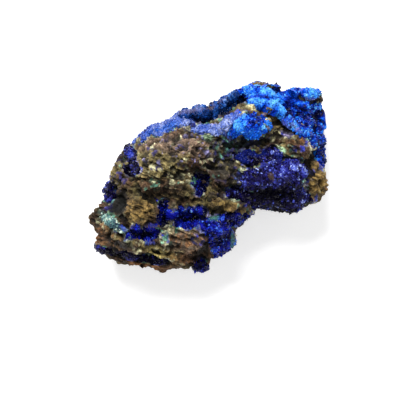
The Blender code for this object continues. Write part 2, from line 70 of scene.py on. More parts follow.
# Heights of the show face above the table: (x, y, height).
HEIGHTS = (
    # the back edge and the ridge behind the trench, left to right
    (-14.0, 4.0, 11.5), (-10.5, 6.6, 12.0), (-6.5, 9.2, 13.0), (-3.0, 10.2, 15.5), (0.6, 10.6, 16.0),
    (3.4, 12.4, 16.0), (5.6, 13.8, 15.0), (8.5, 14.6, 13.5), (12.0, 14.2, 12.0), (16.0, 13.6, 11.0),
    (18.3, 13.0, 9.5),
    # the front lip of the trench and the shoulder beside it
    (-9.5, 5.6, 16.0), (-5.5, 7.6, 16.0), (-2.0, 7.6, 17.0), (2.0, 7.8, 17.6), (4.2, 9.6, 17.0),
    # the crown and the right-hand face
    (6.6, 11.6, 16.4), (9.5, 12.8, 14.8), (12.5, 12.6, 14.0), (15.0, 10.8, 14.4), (12.2, 10.0, 15.6),
    (15.4, 7.6, 15.8), (17.6, 7.4, 12.8), (18.9, 9.4, 9.5), (18.9, 4.0, 9.5),
    # the brown bulge on the left, and the band below it
    (-8.0, 3.6, 19.0), (-3.6, 4.2, 19.2), (-11.0, 2.2, 17.6), (-13.6, 0.8, 14.6), (-9.0, -1.2, 17.8),
    (-4.6, -1.4, 18.0), (-12.6, -1.6, 16.4), (-16.2, -2.2, 11.6),
    # the middle
    (0.8, 4.2, 17.4), (3.6, 3.4, 15.4), (1.6, 0.0, 16.6), (1.0, -3.2, 16.2), (7.0, 7.8, 17.2),
    (9.6, 9.4, 16.8), (12.4, 6.6, 16.4), (9.8, 5.4, 15.4),
    # the lower right: a boss of crystals, its dark underside, and the knob at the end
    (6.4, 2.6, 16.0), (8.4, 0.4, 16.8), (11.0, 1.6, 16.8), (13.4, 1.0, 17.2), (15.2, -0.4, 16.4),
    (15.0, 3.8, 16.2), (9.0, -3.4, 13.6), (13.0, -3.8, 13.2), (17.6, 0.4, 15.0), (17.9, -2.4, 13.4),
    (5.0, -3.0, 13.6),
    # the lower left
    (-14.6, -4.6, 14.6), (-18.2, -6.4, 10.4), (-10.8, -5.6, 16.4), (-6.4, -5.4, 16.8), (-15.0, -8.0, 15.2),
    (-10.0, -8.0, 16.4), (-17.6, -10.4, 11.4), (-12.8, -11.0, 14.4), (-15.0, -12.6, 10.4),
    (-9.0, -13.4, 11.8), (-3.0, -9.6, 16.6), (-5.0, -12.4, 14.0), (-2.4, -4.4, 17.0), (-1.0, -13.8, 10.6),
    (1.4, -8.2, 14.6), (4.2, -5.6, 14.6), (4.2, -8.0, 10.6), (2.2, -11.6, 11.6), (6.6, -6.0, 11.6),
)

# Lumps and pits: (x, y, half length, half width, turn in degrees, rise). A pit's rise is negative.
LUMPS = (
    (6.9, 7.6, 3.2, 1.7, -4, 2.0),  # the azure knob
    (6.6, 8.4, 2.0, 1.6, 0, 0.6),  # its top
    (4.8, 4.9, 2.8, 0.8, 4, -1.0),  # the shaded hollow under it
    (-6.4, 3.4, 6.6, 3.0, 8, 1.0),  # the brown bulge
    (-3.5, 9.9, 0.8, 0.6, 20, 0.7),  # lumps on the ridge behind the trench
    (-1.5, 10.3, 0.7, 0.55, 0, 1.4),
    (1.3, 11.1, 0.6, 0.5, 30, 1.3),
    (3.1, 12.5, 0.8, 0.5, 40, 0.9),
    (0.1, 10.6, 0.5, 0.7, 10, -1.2),  # a gap in it
    (3.6, 11.5, 2.2, 1.1, 40, 1.3),  # the trench's floor rises to the right
    (14.8, 4.7, 2.8, 1.4, -10, 1.3),  # the ochre lump
    (16.7, 3.1, 0.7, 0.7, 0, -1.4),  # a small pit in it
    (13.2, 0.2, 2.9, 2.0, 0, 0.6),  # the sparkling boss
    (17.9, -0.8, 1.7, 3.0, 0, 2.2),  # the knob at the right-hand end
    (-3.0, -6.6, 2.1, 1.6, 0, -2.9),  # the round vug
    (-10.0, -9.4, 2.6, 1.15, -3, -3.2),  # the oval vug
    (-1.3, -1.2, 1.4, 1.5, 0, -2.4),  # the vug under the arch
    (-7.0, -6.0, 0.7, 1.7, 0, -2.4),  # the slot
    (-14.7, -4.4, 2.0, 1.6, 10, -2.2),  # the grey hollow
    (-10.8, -5.7, 2.3, 2.1, 0, 1.6),  # the brown lump beside it
    (2.0, -9.8, 2.0, 2.8, 0, 0.9),  # the lower druse
    (-17.0, -8.6, 1.3, 1.2, 0, 0.9),  # the left-hand corner
    (-14.4, 1.4, 1.1, 1.7, 0, 0.9),  # the lump by the left-hand edge
    (11.2, 13.7, 0.9, 0.5, 0, -1.4),  # the dimple in the crown
)

# Ridges and grooves: (points along it, half width, rise). A groove's rise is negative.
RIDGES = (
    # the trench, its lip and the ridge behind it
    (((-2.6, 8.9), (-0.8, 8.8), (0.8, 9.0), (2.2, 10.0), (3.8, 11.3), (5.6, 12.6)), 1.2, -5.4),
    (((-3.2, 7.6), (0.4, 7.0), (2.8, 7.7), (4.1, 9.1), (6.2, 11.0), (8.9, 11.3), (11.3, 10.1)), 0.8, 1.2),
    (((-6.6, 9.2), (-3.2, 10.0), (-0.4, 10.4)), 0.6, 1.6),
    (((0.8, 11.1), (2.4, 12.1), (4.7, 13.6)), 0.45, 1.0),
    (((12.6, 8.7), (13.8, 7.8), (15.3, 6.6)), 0.5, 0.5),  # the edge of the right-hand face
    (((4.4, 9.7), (5.8, 10.8), (7.6, 10.9), (9.2, 10.0), (10.3, 8.4)), 0.6, -1.0),  # the ochre saddle
    (((10.2, 9.4), (11.4, 8.3), (12.9, 7.2)), 0.6, -1.2),  # the dark wedge
    (((12.4, 11.0), (14.2, 10.8), (16.0, 9.8), (17.8, 9.6)), 0.8, -1.3),  # the furrow in the right face
    (((13.4, 13.5), (15.6, 13.4), (17.8, 13.1)), 0.9, 2.0),  # the horn
    (((13.5, 12.6), (15.0, 12.5), (17.4, 12.2)), 0.5, -1.4),  # the groove under the horn
    (((16.2, 2.4), (16.2, -0.8), (16.1, -4.2)), 0.5, -1.6),  # the seam beside the end knob
    (((4.2, -0.7), (5.4, -1.1), (6.9, -1.6)), 0.5, 0.8),  # the pale sliver
    (((-0.2, -4.4), (2.5, -4.6), (5.2, -4.9), (7.0, -5.7)), 0.6, 1.6),  # the rim of the pointed ledge
    (((-5.3, -5.0), (-5.5, -7.0), (-5.9, -8.6), (-6.9, -9.7)), 0.6, 1.3),  # the pale rib between the vugs
    (((-12.8, -10.2), (-10.4, -11.0), (-7.2, -10.6)), 0.6, 0.9),  # the lip of the oval vug
    (((-12.3, -8.8), (-13.2, -7.7), (-13.7, -6.6)), 0.5, -0.9),  # the vein that leads to it
    # the foot's ridge, and the seam below it
    (((-16.6, -10.6), (-13.4, -11.2), (-10.0, -12.2), (-7.4, -13.1), (-4.8, -14.0)), 0.6, 1.0),
    (((-17.0, -11.9), (-13.2, -12.9), (-9.2, -13.8), (-6.4, -14.4)), 0.9, -0.8),
    (((-12.5, 4.6), (-12.8, 2.0), (-12.4, 0.3)), 0.7, -1.0),  # the valley by the left-hand edge
    (((3.3, -8.0), (3.9, -10.0), (3.2, -12.2)), 0.5, 0.8),  # the rim of the lower druse
)

# Ledges: (points along the edge, drop, reach). The higher side is on the left of the line of points.
LEDGES = (
    # the bulge, and the band below it
    (((-13.4, -0.3), (-7.8, -0.2), (-6.6, 0.9), (-4.8, 1.4), (-2.0, 1.3), (0.2, 2.0)), 1.6, 1.6),
    (((-14.2, -1.4), (-12.0, -2.2), (-9.0, -2.6), (-6.0, -2.5), (-3.8, -3.1)), 2.4, 1.8),
    (((-5.0, 0.6), (-2.5, 1.0), (-0.4, 0.5), (0.5, -0.6), (0.9, -2.0), (0.6, -3.2)), 1.8, 0.9),  # the arch
    (((-5.2, -4.7), (-3.0, -4.3), (-0.4, -4.6)), 0.7, 0.8),  # the round vug's brow
    # the edge of the right-hand face
    (((11.2, 10.2), (12.1, 8.7), (13.6, 7.6), (15.2, 6.4), (16.8, 5.0), (17.8, 2.8)), 1.0, 1.6),
    (((12.4, 12.2), (15.0, 11.9), (18.0, 11.7)), 1.0, 1.2),  # the bench under the horn
    (((2.6, -1.5), (6.0, -1.9), (9.0, -1.9), (12.0, -2.0), (15.6, -1.7)), 1.2, 1.2),  # the dark underside
    (((12.2, 3.0), (14.6, 2.6), (17.0, 2.3)), 1.4, 1.0),  # under the ochre lump
    (((4.2, 6.9), (5.8, 6.0), (7.4, 5.5), (9.4, 6.3)), 1.8, 1.2),  # under the knob
    (((9.6, 5.0), (11.4, 4.4), (12.6, 3.0)), 1.0, 1.0),  # beside the green fleck
)


def lattice_value(corner, seed):
    """A fixed value from -1 to 1 for each whole-number corner of a lattice: a large sine's fraction."""
    mixed = corner @ np.array([127.1, 311.7, 74.7]) + seed * 19.3
    return 2 * np.modf(np.abs(np.sin(mixed) * 43758.5453))[0] - 1


def noise(points, size, seed):
    """Smooth noise from -1 to 1 with lumps about that size: a lattice's values, blended between corners."""
    place = points / size
    low = np.floor(place)
    share = place - low
    share = share * share * (3 - 2 * share)
    total = np.zeros(len(points))
    for corner in np.ndindex(2, 2, 2):
        weight = np.prod(np.where(corner, share, 1 - share), axis=1)
        total += weight * lattice_value(low + corner, seed)
    return total


def oval_distance(x, y, oval):
    """Distance from an oval's centre, as a share of the way to its edge."""
    centre_x, centre_y, length, width, turn = oval
    turn = np.radians(turn)
    along = (x - centre_x) * np.cos(turn) + (y - centre_y) * np.sin(turn)
    across = (y - centre_y) * np.cos(turn) - (x - centre_x) * np.sin(turn)
    return np.hypot(along / length, across / width)


def line_distance(x, y, points):
    """Distance from a line of points, which is positive on the line's left."""
    best = np.full(x.shape, np.inf)
    side = np.ones(x.shape)
    for (x0, y0), (x1, y1) in zip(points, points[1:]):
        run_x, run_y = x1 - x0, y1 - y0
        share = np.clip(((x - x0) * run_x + (y - y0) * run_y) / (run_x**2 + run_y**2), 0, 1)
        distance = np.hypot(x - x0 - share * run_x, y - y0 - share * run_y)
        nearer = distance < best
        side = np.where(nearer, np.sign(run_x * (y - y0) - run_y * (x - x0)), side)
        best = np.where(nearer, distance, best)
    return best * side


def face_height(x, y):
    """The show face: heights blended by nearness, plus each lump's exp(-d^4), each ridge's exp(-d^2), and
    each ledge's step, which dies away on both sides."""
    weighted, weights = np.zeros(x.shape), np.zeros(x.shape)
    for place_x, place_y, height in HEIGHTS:
        weight = 1 / ((x - place_x) ** 2 + (y - place_y) ** 2 + 0.8) ** 2
        weighted += weight * height
        weights += weight
    height = weighted / weights
    for *oval, rise in LUMPS:
        height += rise * np.exp(-oval_distance(x, y, oval) ** 4)
    for points, width, rise in RIDGES:
        height += rise * np.exp(-(line_distance(x, y, points) / width) ** 2)
    for points, drop, reach in LEDGES:
        distance = line_distance(x, y, points)
        height += drop / 2 * np.tanh(distance / LEDGE_FACE) * np.exp(-np.abs(distance) / reach)
    return height


def back_height(x, y):
    """The broken back before it is cut flat: below nought where it rests on the table."""
    flat = np.column_stack((x, y, np.zeros_like(x)))
    uneven = noise(flat, 7.0, 3) + 0.5 * noise(flat, 3.0, 4)
    return BACK_UNEVEN * uneven * (1 - np.exp(-(x**2 + y**2) / 30)) - BACK_CUT


def outline_reach(angle):
    """How far the outline is from the middle in that direction."""
    corners = np.array(OUTLINE)
    angles = np.arctan2(corners[:, 1], corners[:, 0])
    order = np.argsort(angles)
    return np.interp(angle, angles[order], np.hypot(*corners.T)[order], period=2 * np.pi) - INSET


def section_steps(ring):
    """The stone's section from its middle to its rim, a rounded box, in longer steps down its wall."""
    bend = np.linspace(0, np.pi / 2, 4000)
    outward, upward = np.sin(bend) ** BOX_OUT, np.cos(bend) ** BOX_UP
    length = np.insert(np.cumsum(np.hypot(np.diff(outward), 0.2 * np.diff(upward))), 0, 0)
    at = ring * length[-1]
    return np.interp(at, length, outward), np.interp(at, length, upward)


def grid_places(cells):
    """The ring and the angle of each point of a grid. The square (s, t) becomes a round disc by
    s sqrt(1 - t^2/2), t sqrt(1 - s^2/2), and the disc is stretched along the loose oval."""
    lines = [np.linspace(-1, 1, count + 1) for count in cells]
    along, across = (grid.ravel() for grid in np.meshgrid(*lines))
    out_x, out_y = along * np.sqrt(1 - across**2 / 2), across * np.sqrt(1 - along**2 / 2)
    half_length, half_width, turn = LOOSE_OVAL
    angle = np.arctan2(out_y * half_width, out_x * half_length) + np.radians(turn)
    return np.minimum(np.hypot(out_x, out_y), 1), angle


def side_points(ring, angle, height_of, sink):
    """Points of one side: out from the middle to the outline along the section, and up or down from the
    rim's line, less the sink, to the height that height_of gives."""
    outward, upward = section_steps(ring)
    x = outline_reach(angle) * outward * np.cos(angle)
    y = outline_reach(angle) * outward * np.sin(angle)
    rim = RIM_HEIGHT + RIM_WAVE * (np.sin(2 * angle + 0.6) + 0.6 * np.sin(5 * angle)) - sink
    return np.column_stack((x, y, np.maximum(0, rim + (height_of(x, y) - rim) * upward)))


def grid_quads(cells, first):
    """The corner numbers of a grid's cells, anticlockwise, when its points are numbered from first."""
    row = cells[0] + 1
    corner = first + (np.arange(cells[1])[:, None] * row + np.arange(cells[0])).ravel()
    return np.column_stack((corner, corner + 1, corner + row + 1, corner + row))


def grid_rim(cells, first):
    """The points along a grid's rim, anticlockwise from its first corner."""
    row, run, rise = cells[0] + 1, np.arange(cells[0]), np.arange(cells[1])
    sides = run, cells[0] + rise * row, row * cells[1] + cells[0] - run, (cells[1] - rise) * row
    return first + np.concatenate(sides)


def stitch(upper, lower):
    """Three triangles between each two neighbours of a lower line and the three above them in an upper."""
    after, middle = np.roll(lower, -1), upper[1::2]
    corners = (lower, middle, upper[::2]), (lower, after, middle), (after, np.roll(upper, -2)[::2], middle)
    return np.vstack([np.column_stack(triangle) for triangle in corners])


# The show face's grid, the lines of points down the wall below its rim, and the back's coarser grid.
SHOW_CELLS = 4 * BACK_CELLS[0], 4 * BACK_CELLS[1]
show_ring, show_angle = grid_places(SHOW_CELLS)
show_points = side_points(show_ring, show_angle, face_height, 0)
SHOW_COUNT = len(show_points)
show_rim = grid_rim(SHOW_CELLS, 0)
AROUND = len(show_rim) // 2
wall_ring = np.append(np.ones(BAND_ROWS), np.linspace(1, FOOT, WALL_ROWS + 1)[1:])
wall_sink = np.append(np.linspace(0, RIM_BAND, BAND_ROWS + 1)[1:], np.full(WALL_ROWS, RIM_BAND))
wall_angle = np.tile(show_angle[show_rim[::2]], len(wall_ring))
wall_ring, wall_sink = np.repeat(wall_ring, AROUND), np.repeat(wall_sink, AROUND)
wall_points = side_points(wall_ring, wall_angle, back_height, wall_sink)
back_ring, back_angle = grid_places(BACK_CELLS)
back_points = side_points(back_ring * (FOOT - 0.02), back_angle, back_height, RIM_BAND)
stone_points = np.vstack((show_points, wall_points, back_points))
wall_lines = SHOW_COUNT + np.arange(len(wall_points)).reshape(-1, AROUND)
upper_line, lower_line = wall_lines[:-1], wall_lines[1:]
wall_corners = lower_line, np.roll(lower_line, -1, 1), np.roll(upper_line, -1, 1), upper_line
BACK_FIRST = SHOW_COUNT + len(wall_points)
wall_quads = np.column_stack([line.ravel() for line in wall_corners])
face_quads = np.vstack((grid_quads(SHOW_CELLS, 0), wall_quads))
face_triangles = stitch(show_rim, wall_lines[0])
stone_quads = np.vstack((face_quads, grid_quads(BACK_CELLS, BACK_FIRST)[:, ::-1]))
stone_triangles = np.vstack((face_triangles, stitch(wall_lines[-1], grid_rim(BACK_CELLS, BACK_FIRST))))

# The foot of the wall is broken away inwards, below the line of the rim.
reach = np.hypot(stone_points[:, 0], stone_points[:, 1])
near_rim = (reach / outline_reach(np.arctan2(stone_points[:, 1], stone_points[:, 0]))) ** 4
below = np.clip(1 - stone_points[:, 2] / RIM_HEIGHT, 0, 1)
pull = UNDERCUT * below * near_rim * (0.6 + 0.8 * noise(stone_points, 6.0, 5))
stone_points[:, :2] *= (1 - np.clip(pull, 0, None) / np.maximum(reach, 1))[:, None]

# --- Where the crusts grow ----------------------------------------------------------------------------
# Azurite, a blue copper carbonate, grew as crusts of small crystals on the stone and in its hollows.
# These are the patches that each crust covers: ovals as (x, y, half length, half width, turn), and how
# far down it reaches.

CRUSTS = {
    "azurite_crown_crust": (
        ((8.8, 13.9, 4.8, 2.2, -3), (9.2, 11.8, 3.0, 0.9, -4), (13.2, 12.2, 3.6, 1.6, -35),
         (16.0, 9.8, 3.8, 2.4, -12), (17.4, 7.6, 2.6, 3.2, 0), (18.8, 4.2, 1.5, 2.8, 0),
         (11.4, 10.2, 1.5, 0.8, -50), (13.8, 7.9, 2.4, 0.6, -38)), 3.5),
    "azurite_shoulder_crust": (
        ((-10.6, 6.6, 2.4, 1.1, 32), (-7.0, 8.2, 3.0, 1.6, 22), (-4.0, 8.4, 2.4, 0.9, 6),
         (0.4, 7.2, 3.2, 0.8, -4), (3.6, 8.5, 1.7, 0.7, 42)), 6.0),
    "azurite_trench_crust": (
        ((-0.8, 9.6, 3.2, 1.4, 6), (1.9, 10.6, 2.8, 1.5, 34), (4.6, 12.6, 2.8, 1.4, 44)), 8.0),
    "azurite_knob": (((6.6, 7.6, 3.3, 1.9, -4), (6.7, 8.5, 2.4, 1.8, 0), (7.2, 6.6, 1.6, 1.0, 0)), 6.0),
    "azurite_horn": (((16.0, 13.8, 3.1, 1.2, -3),), 3.0),
    "azurite_boss_druse": (
        ((6.6, 2.8, 2.6, 1.2, -4), (10.4, 3.0, 2.0, 1.4, -30), (13.0, 0.5, 3.2, 2.2, 0),
         (8.6, -0.4, 3.6, 2.0, 0), (11.0, -3.6, 5.4, 2.6, 0), (5.4, -3.2, 3.6, 1.1, -6)), 4.0),
    "azurite_notch_crust": (
        ((-2.9, -6.6, 2.5, 1.8, 0), (0.3, -8.0, 1.8, 1.4, -20), (2.1, -10.2, 1.9, 2.9, 0),
         (4.2, -7.0, 3.4, 1.3, 4)), 5.0),
    "azurite_oval_vug": (((-10.0, -9.4, 2.9, 1.4, -3),), 6.0),
    "azurite_arch_vug": (((-1.4, -1.3, 1.5, 1.7, 0),), 6.0),
    "azurite_slot_vug": (((-7.0, -6.0, 0.9, 1.9, 0),), 6.0),
    "azurite_foot_seam": (
        ((-16.2, -12.0, 2.3, 0.7, -18), (-12.2, -13.1, 2.6, 0.6, -14), (-8.6, -13.8, 2.2, 0.5, -8)), 6.0),
    "azurite_stub": (((-1.1, -15.2, 1.3, 1.5, 0),), 5.0),
    "azurite_left_vein": (((-12.5, 3.4, 0.9, 1.4, 0), (-12.0, 1.0, 1.5, 1.1, -5)), 9.5),
    "azurite_edge_patch": (((-16.3, -1.8, 1.0, 1.1, 0), (-15.7, -3.2, 0.8, 1.3, -20)), 6.0),
    "malachite_patch": (((-15.3, -7.5, 2.6, 0.9, -32),), 6.0),
}
RAGGED = 0.24  # how far a crust's edge wanders, as a share of its ovals' size


def crust_share(points, crust):
    """Over nought inside a crust's ovals and above its lowest level, whose edges wander with the noise."""
    ovals, lowest = crust
    inside = np.max([1 - oval_distance(points[:, 0], points[:, 1], oval) for oval in ovals], axis=0)
    wander = noise(points, 1.3, 11) + 0.6 * noise(points, 0.5, 12)
    above = (points[:, 2] - lowest) / 3 + 0.5 * noise(points, 2.4, 13)
    return np.minimum(inside, above) + RAGGED * wander


def smooth_step(value):
    """From 0 to 1 as the value goes from 0 to 1, level at both ends."""
    value = np.clip(value, 0, 1)
    return value * value * (3 - 2 * value)


shares = {name: crust_share(stone_points, crust) for name, crust in CRUSTS.items()}
under_crust = smooth_step(np.max(list(shares.values()), axis=0) * 4)

# --- The stone: its broken surface --------------------------------------------------------------------
# The break is lumpy at every size down to grains of a third of a millimetre, with cracks between the
# blocks. The stone sinks a little under each crust, and what rests on the table stays flat.

COARSE, FINE = 0.6, 0.35  # height of the broken surface's larger and smaller lumps
FOLDS = (1.0, 1.3, 45), (0.6, 0.65, 46), (0.4, 0.33, 47)  # the cracks: share, size and seed of each layer
SINK = 0.5  # how deep a crust's bed lies
SMOOTH = -14.5, -4.9, 1.5, 1.7, 10  # an old joint face in the grey hollow, where the break is smooth
# The grain is turned to run down to the right, and so are the fibres, which are three times longer.
GRAIN_LIE = np.array([[0.72, 0.2, 0], [-0.24, 0.95, 0], [0, 0, 0.9]])
FIBRE_LIE = np.array([[0.24, 0.42, 0], [-0.13, 0.91, 0], [0, 0, 0.3]])


def corner_ways(points, quads, triangles):
    """The outward direction at each point: the mean of the directions of the faces round it, by area."""
    total = np.zeros_like(points)
    for faces in (quads, triangles):
        diagonals = points[faces[:, 2]] - points[faces[:, 0]], points[faces[:, -1]] - points[faces[:, 1]]
        facing = np.cross(*diagonals)
        for axis in range(3):
            for corner in faces.T:
                total[:, axis] += np.bincount(corner, facing[:, axis], len(points))
    return total / np.maximum(np.linalg.norm(total, axis=1), 1e-12)[:, None]


def chips(points, size, seed, planes=7):
    """Angular lumps of about that size: one per lattice cell, at a jittered point. Each is a solid cut by
    planes with directions of its own, and the surface follows the highest. Also a value from -1 to 1 for
    each lump."""
    place = points / size
    low = np.floor(place)
    best, value = np.full(len(points), -9.0), np.zeros(len(points))
    for offset in np.ndindex(3, 3, 3):
        cell = low + np.array(offset) - 1
        jitter = np.column_stack([lattice_value(cell, seed + k) for k in range(3)])
        away = place - cell - 0.5 - 0.4 * jitter
        depth = np.zeros(len(points))
        for plane in range(planes):
            facing = np.column_stack([lattice_value(cell, seed + 7 + 3 * plane + k) for k in range(3)])
            facing /= np.maximum(np.linalg.norm(facing, axis=1), 0.2)[:, None]
            depth = np.maximum(depth, np.sum(away * facing, axis=1))
        top = 0.35 * lattice_value(cell, seed + 4) - depth
        higher = top > best
        value = np.where(higher, lattice_value(cell, seed + 5), value)
        best = np.where(higher, top, best)
    return best, value


ways = corner_ways(stone_points, stone_quads, stone_triangles)
bed_rise = COARSE * noise(stone_points, 3.6, 1) + FINE * noise(stone_points, 1.9, 2)
bed = stone_points + ways * np.where(stone_points[:, 2] < 0.001, 0, bed_rise)[:, None]
ways = corner_ways(bed, stone_quads, stone_triangles)
lie = bed @ GRAIN_LIE
block_rise, block_tone = chips(lie, 1.3, 21, 5)
grain_rise, grain_tone = chips(lie, 0.4, 31, 6)
folds = sum(part * np.abs(noise(lie, size, seed)) for part, size, seed in FOLDS)
pits = smooth_step(noise(lie, 0.7, 43) * 3 - 0.8)
crumble = 0.6 - 1.1 * folds + 0.5 * noise(lie, 0.25, 44)
fibres = 0.5 - np.abs(noise(bed @ FIBRE_LIE, 0.32, 48)) - 0.6 * np.abs(noise(bed @ FIBRE_LIE, 0.7, 49))
crag = 0.24 * block_rise + 0.2 * grain_rise + 0.28 * crumble + 0.5 * fibres
worn = smooth_step(1.6 - 1.2 * oval_distance(bed[:, 0], bed[:, 1], SMOOTH))
crag = crag * (1 - 0.75 * worn) - 0.1 * worn
pits = pits * (1 - worn)
rock_rise = (crag - 0.4 * pits) * (1 - under_crust) + (crag - SINK) * under_crust
resting = stone_points[:, 2] < 0.001
skin = bed + ways * np.where(resting, 0, rock_rise)[:, None]
skin[:, 2] = np.maximum(skin[:, 2], 0)

# --- The stone: its colours ---------------------------------------------------------------------------
# Ironstone is brown where it is goethite and olive or ochre where it is weathered limonite, with cream
# and green stains of copper clay. Each stain is an oval of one earth colour. Hollows of the show face
# are painted darker as shade, with dust, and its crests lighter as painted highlight.

EARTHS = {
    "umber": (0.042, 0.022, 0.011),
    "olive": (0.085, 0.068, 0.025),
    "rose_brown": (0.105, 0.07, 0.048),
    "ochre": (0.14, 0.09, 0.026),
    "rust": (0.12, 0.055, 0.02),
    "cream": (0.28, 0.27, 0.16),
    "straw": (0.125, 0.1, 0.04),
    "ink": (0.03, 0.045, 0.05),
    "sky": (0.006, 0.13, 0.8),
    "plum": (0.028, 0.017, 0.022),
    "lime": (0.19, 0.15, 0.05),
    "cobalt": (0.02, 0.04, 0.4),
    "celadon": (0.2, 0.3, 0.18),
    "slate": (0.02, 0.0175, 0.0135),
    "soot": (0.006, 0.005, 0.007),
    "verdigris": (0.06, 0.17, 0.12),
    "lilac": (0.13, 0.12, 0.24),
    "royal": (0.004, 0.014, 0.18),
    "azure": (0.012, 0.09, 0.42),
    "indigo": (0.012, 0.011, 0.07),
}
STAINS_END = 5  # how far down the wall the stains reach
# (x, y, half length, half width, turn, colour, strength)
STAINS = (
    (-8.6, 2.0, 4.6, 2.6, 10, "straw", 0.9),
    (-4.6, 4.8, 4.2, 1.9, 0, "rose_brown", 0.9),
    (-0.6, 3.6, 2.0, 2.2, 0, "rose_brown", 0.6),
    (-8.8, 5.2, 2.6, 1.2, 20, "rose_brown", 0.7),
    (-6.4, -1.6, 4.2, 1.4, 0, "umber", 0.8),
    (-11.0, -5.6, 2.6, 2.2, 0, "ochre", 0.75),
    (-14.6, -4.4, 2.2, 2.2, 0, "slate", 1.0),
    (-16.6, -9.6, 2.0, 1.8, 0, "rust", 0.7),
    (-3.2, -10.6, 4.6, 2.4, -10, "rose_brown", 0.7),
    (-14.0, -11.7, 3.4, 0.6, -14, "umber", 0.8),
    (-8.0, -12.3, 3.0, 0.9, -18, "lime", 1.0),
    (-9.4, -14.6, 5.0, 0.5, -10, "rust", 0.9),
    (-4.0, -13.6, 3.4, 1.2, -10, "rust", 0.5),
    (-12.4, -13.0, 3.6, 0.55, -14, "indigo", 0.9),
    (-14.0, -10.9, 3.4, 0.6, -14, "soot", 0.9),
    (-5.9, -7.4, 0.9, 3.0, -12, "cream", 0.5),
    # painted shade on dark grey stone: the dip below the knob, and the hollow right under the knob
    (2.6, 2.4, 2.6, 3.8, 0, "slate", 0.95),
    (5.4, 5.2, 3.8, 1.2, 4, "ink", 0.95),
    (3.6, -3.5, 3.8, 0.6, -10, "plum", 0.85),
    (0.0, 6.0, 1.1, 0.7, 0, "celadon", 0.8),
    (7.4, 10.6, 2.8, 0.9, 0, "ochre", 0.9),
    (6.6, 10.9, 1.6, 0.4, 10, "cream", 0.6),
    # painted shadow under the light edge of the right-hand face
    (12.3, 8.8, 2.2, 0.5, -32, "indigo", 0.9),
    (9.8, 8.6, 1.2, 1.8, 30, "ochre", 0.8),
    (10.4, 7.4, 1.0, 0.5, -45, "cream", 0.6),
    (12.8, 7.6, 2.2, 1.0, -25, "olive", 0.8),
    (12.5, 6.6, 1.3, 0.8, 0, "lilac", 0.6),
    (15.0, 4.8, 2.8, 1.4, -10, "umber", 0.7),
    (14.2, 5.4, 1.6, 0.6, -10, "rust", 0.8),
    (16.8, 4.4, 0.7, 0.8, 0, "cream", 0.7),
    (14.3, 4.2, 1.0, 0.5, 0, "indigo", 0.6),
    (11.5, 4.0, 0.9, 0.6, -20, "celadon", 1.0),
    (17.9, -0.8, 1.9, 3.4, 0, "ochre", 0.9),
    (5.6, -1.3, 1.4, 0.4, -18, "cream", 0.9),
    (3.4, -4.9, 3.2, 0.7, -14, "ochre", 0.7),
    (4.6, -5.2, 1.6, 0.5, -10, "umber", 0.4),
    (-2.4, -1.0, 0.5, 0.9, 0, "verdigris", 0.8),
    (0.9, -6.8, 0.9, 0.7, 0, "verdigris", 0.9),
    (3.9, -10.4, 0.6, 1.8, 0, "cream", 0.6),
    (0.4, 7.4, 3.4, 0.8, 4, "lilac", 0.8),
    (3.6, 8.8, 1.8, 0.8, 45, "lilac", 0.7),
    (-2.0, 10.8, 3.2, 0.7, 8, "indigo", 0.6),
    (8.4, 15.2, 1.8, 0.7, 0, "rust", 0.8),
    (15.0, 12.5, 1.8, 0.5, -5, "rose_brown", 0.8),
)


def painted(colours, share, name):
    """The colours with a share from 0 to 1 of an earth colour mixed in at each point."""
    return colours * (1 - share[:, None]) + np.array(EARTHS[name]) * share[:, None]


def stained(points, colours, stains, lowest):
    """The base colours with each stain painted over them, strongest in the middle of its oval, broken up by
    noise, and fading out over the two millimetres above its lowest level."""
    patchy = 0.25 * noise(points, 0.9, 51) + 0.2 * noise(points, 0.35, 52)
    for *oval, name, strength in stains:
        inside = smooth_step((1.15 - oval_distance(points[:, 0], points[:, 1], oval)) * 1.6 + patchy)
        above = smooth_step((points[:, 2] - lowest) / 2 + 1.5 * patchy)
        colours = painted(colours, inside * strength * above, name)
    return colours


# Umber and olive all over, streaked level with other earths below the widest line, then the stains.
mixed = smooth_step(0.35 + 0.8 * noise(bed, 2.6, 61) + 0.5 * noise(bed, 0.8, 62))
stone_colours = painted(np.array(EARTHS["umber"]), mixed, "olive")
lower = smooth_step((9 - bed[:, 2]) / 3)
for seed, name, part in ((63, "rust", 0.5), (64, "slate", 0.45), (65, "straw", 0.4), (66, "indigo", 0.15)):
    streaks = noise(bed * (0.35, 0.35, 1), 1.6, seed) + 0.5 * noise(bed, 0.7, seed + 10)
    streaked = 0.8 * lower * smooth_step((streaks + part - 0.45) * 3)
    stone_colours = painted(stone_colours, streaked, name)
stone_colours = stained(bed, stone_colours, STAINS, STAINS_END)

# Copper stains the stone beside a crust lilac, green or cream, in flecks that soon thin out.
nearness = smooth_step(1.3 - np.abs(np.max(list(shares.values()), axis=0) + 0.05) * 6)
for seed, name in ((53, "lilac"), (54, "verdigris"), (55, "cream"), (56, "royal")):
    fleck = smooth_step(noise(bed, 0.8, seed) * 3 + nearness - 1.2)
    stone_colours = painted(stone_colours, fleck * 0.85 * nearness, name)

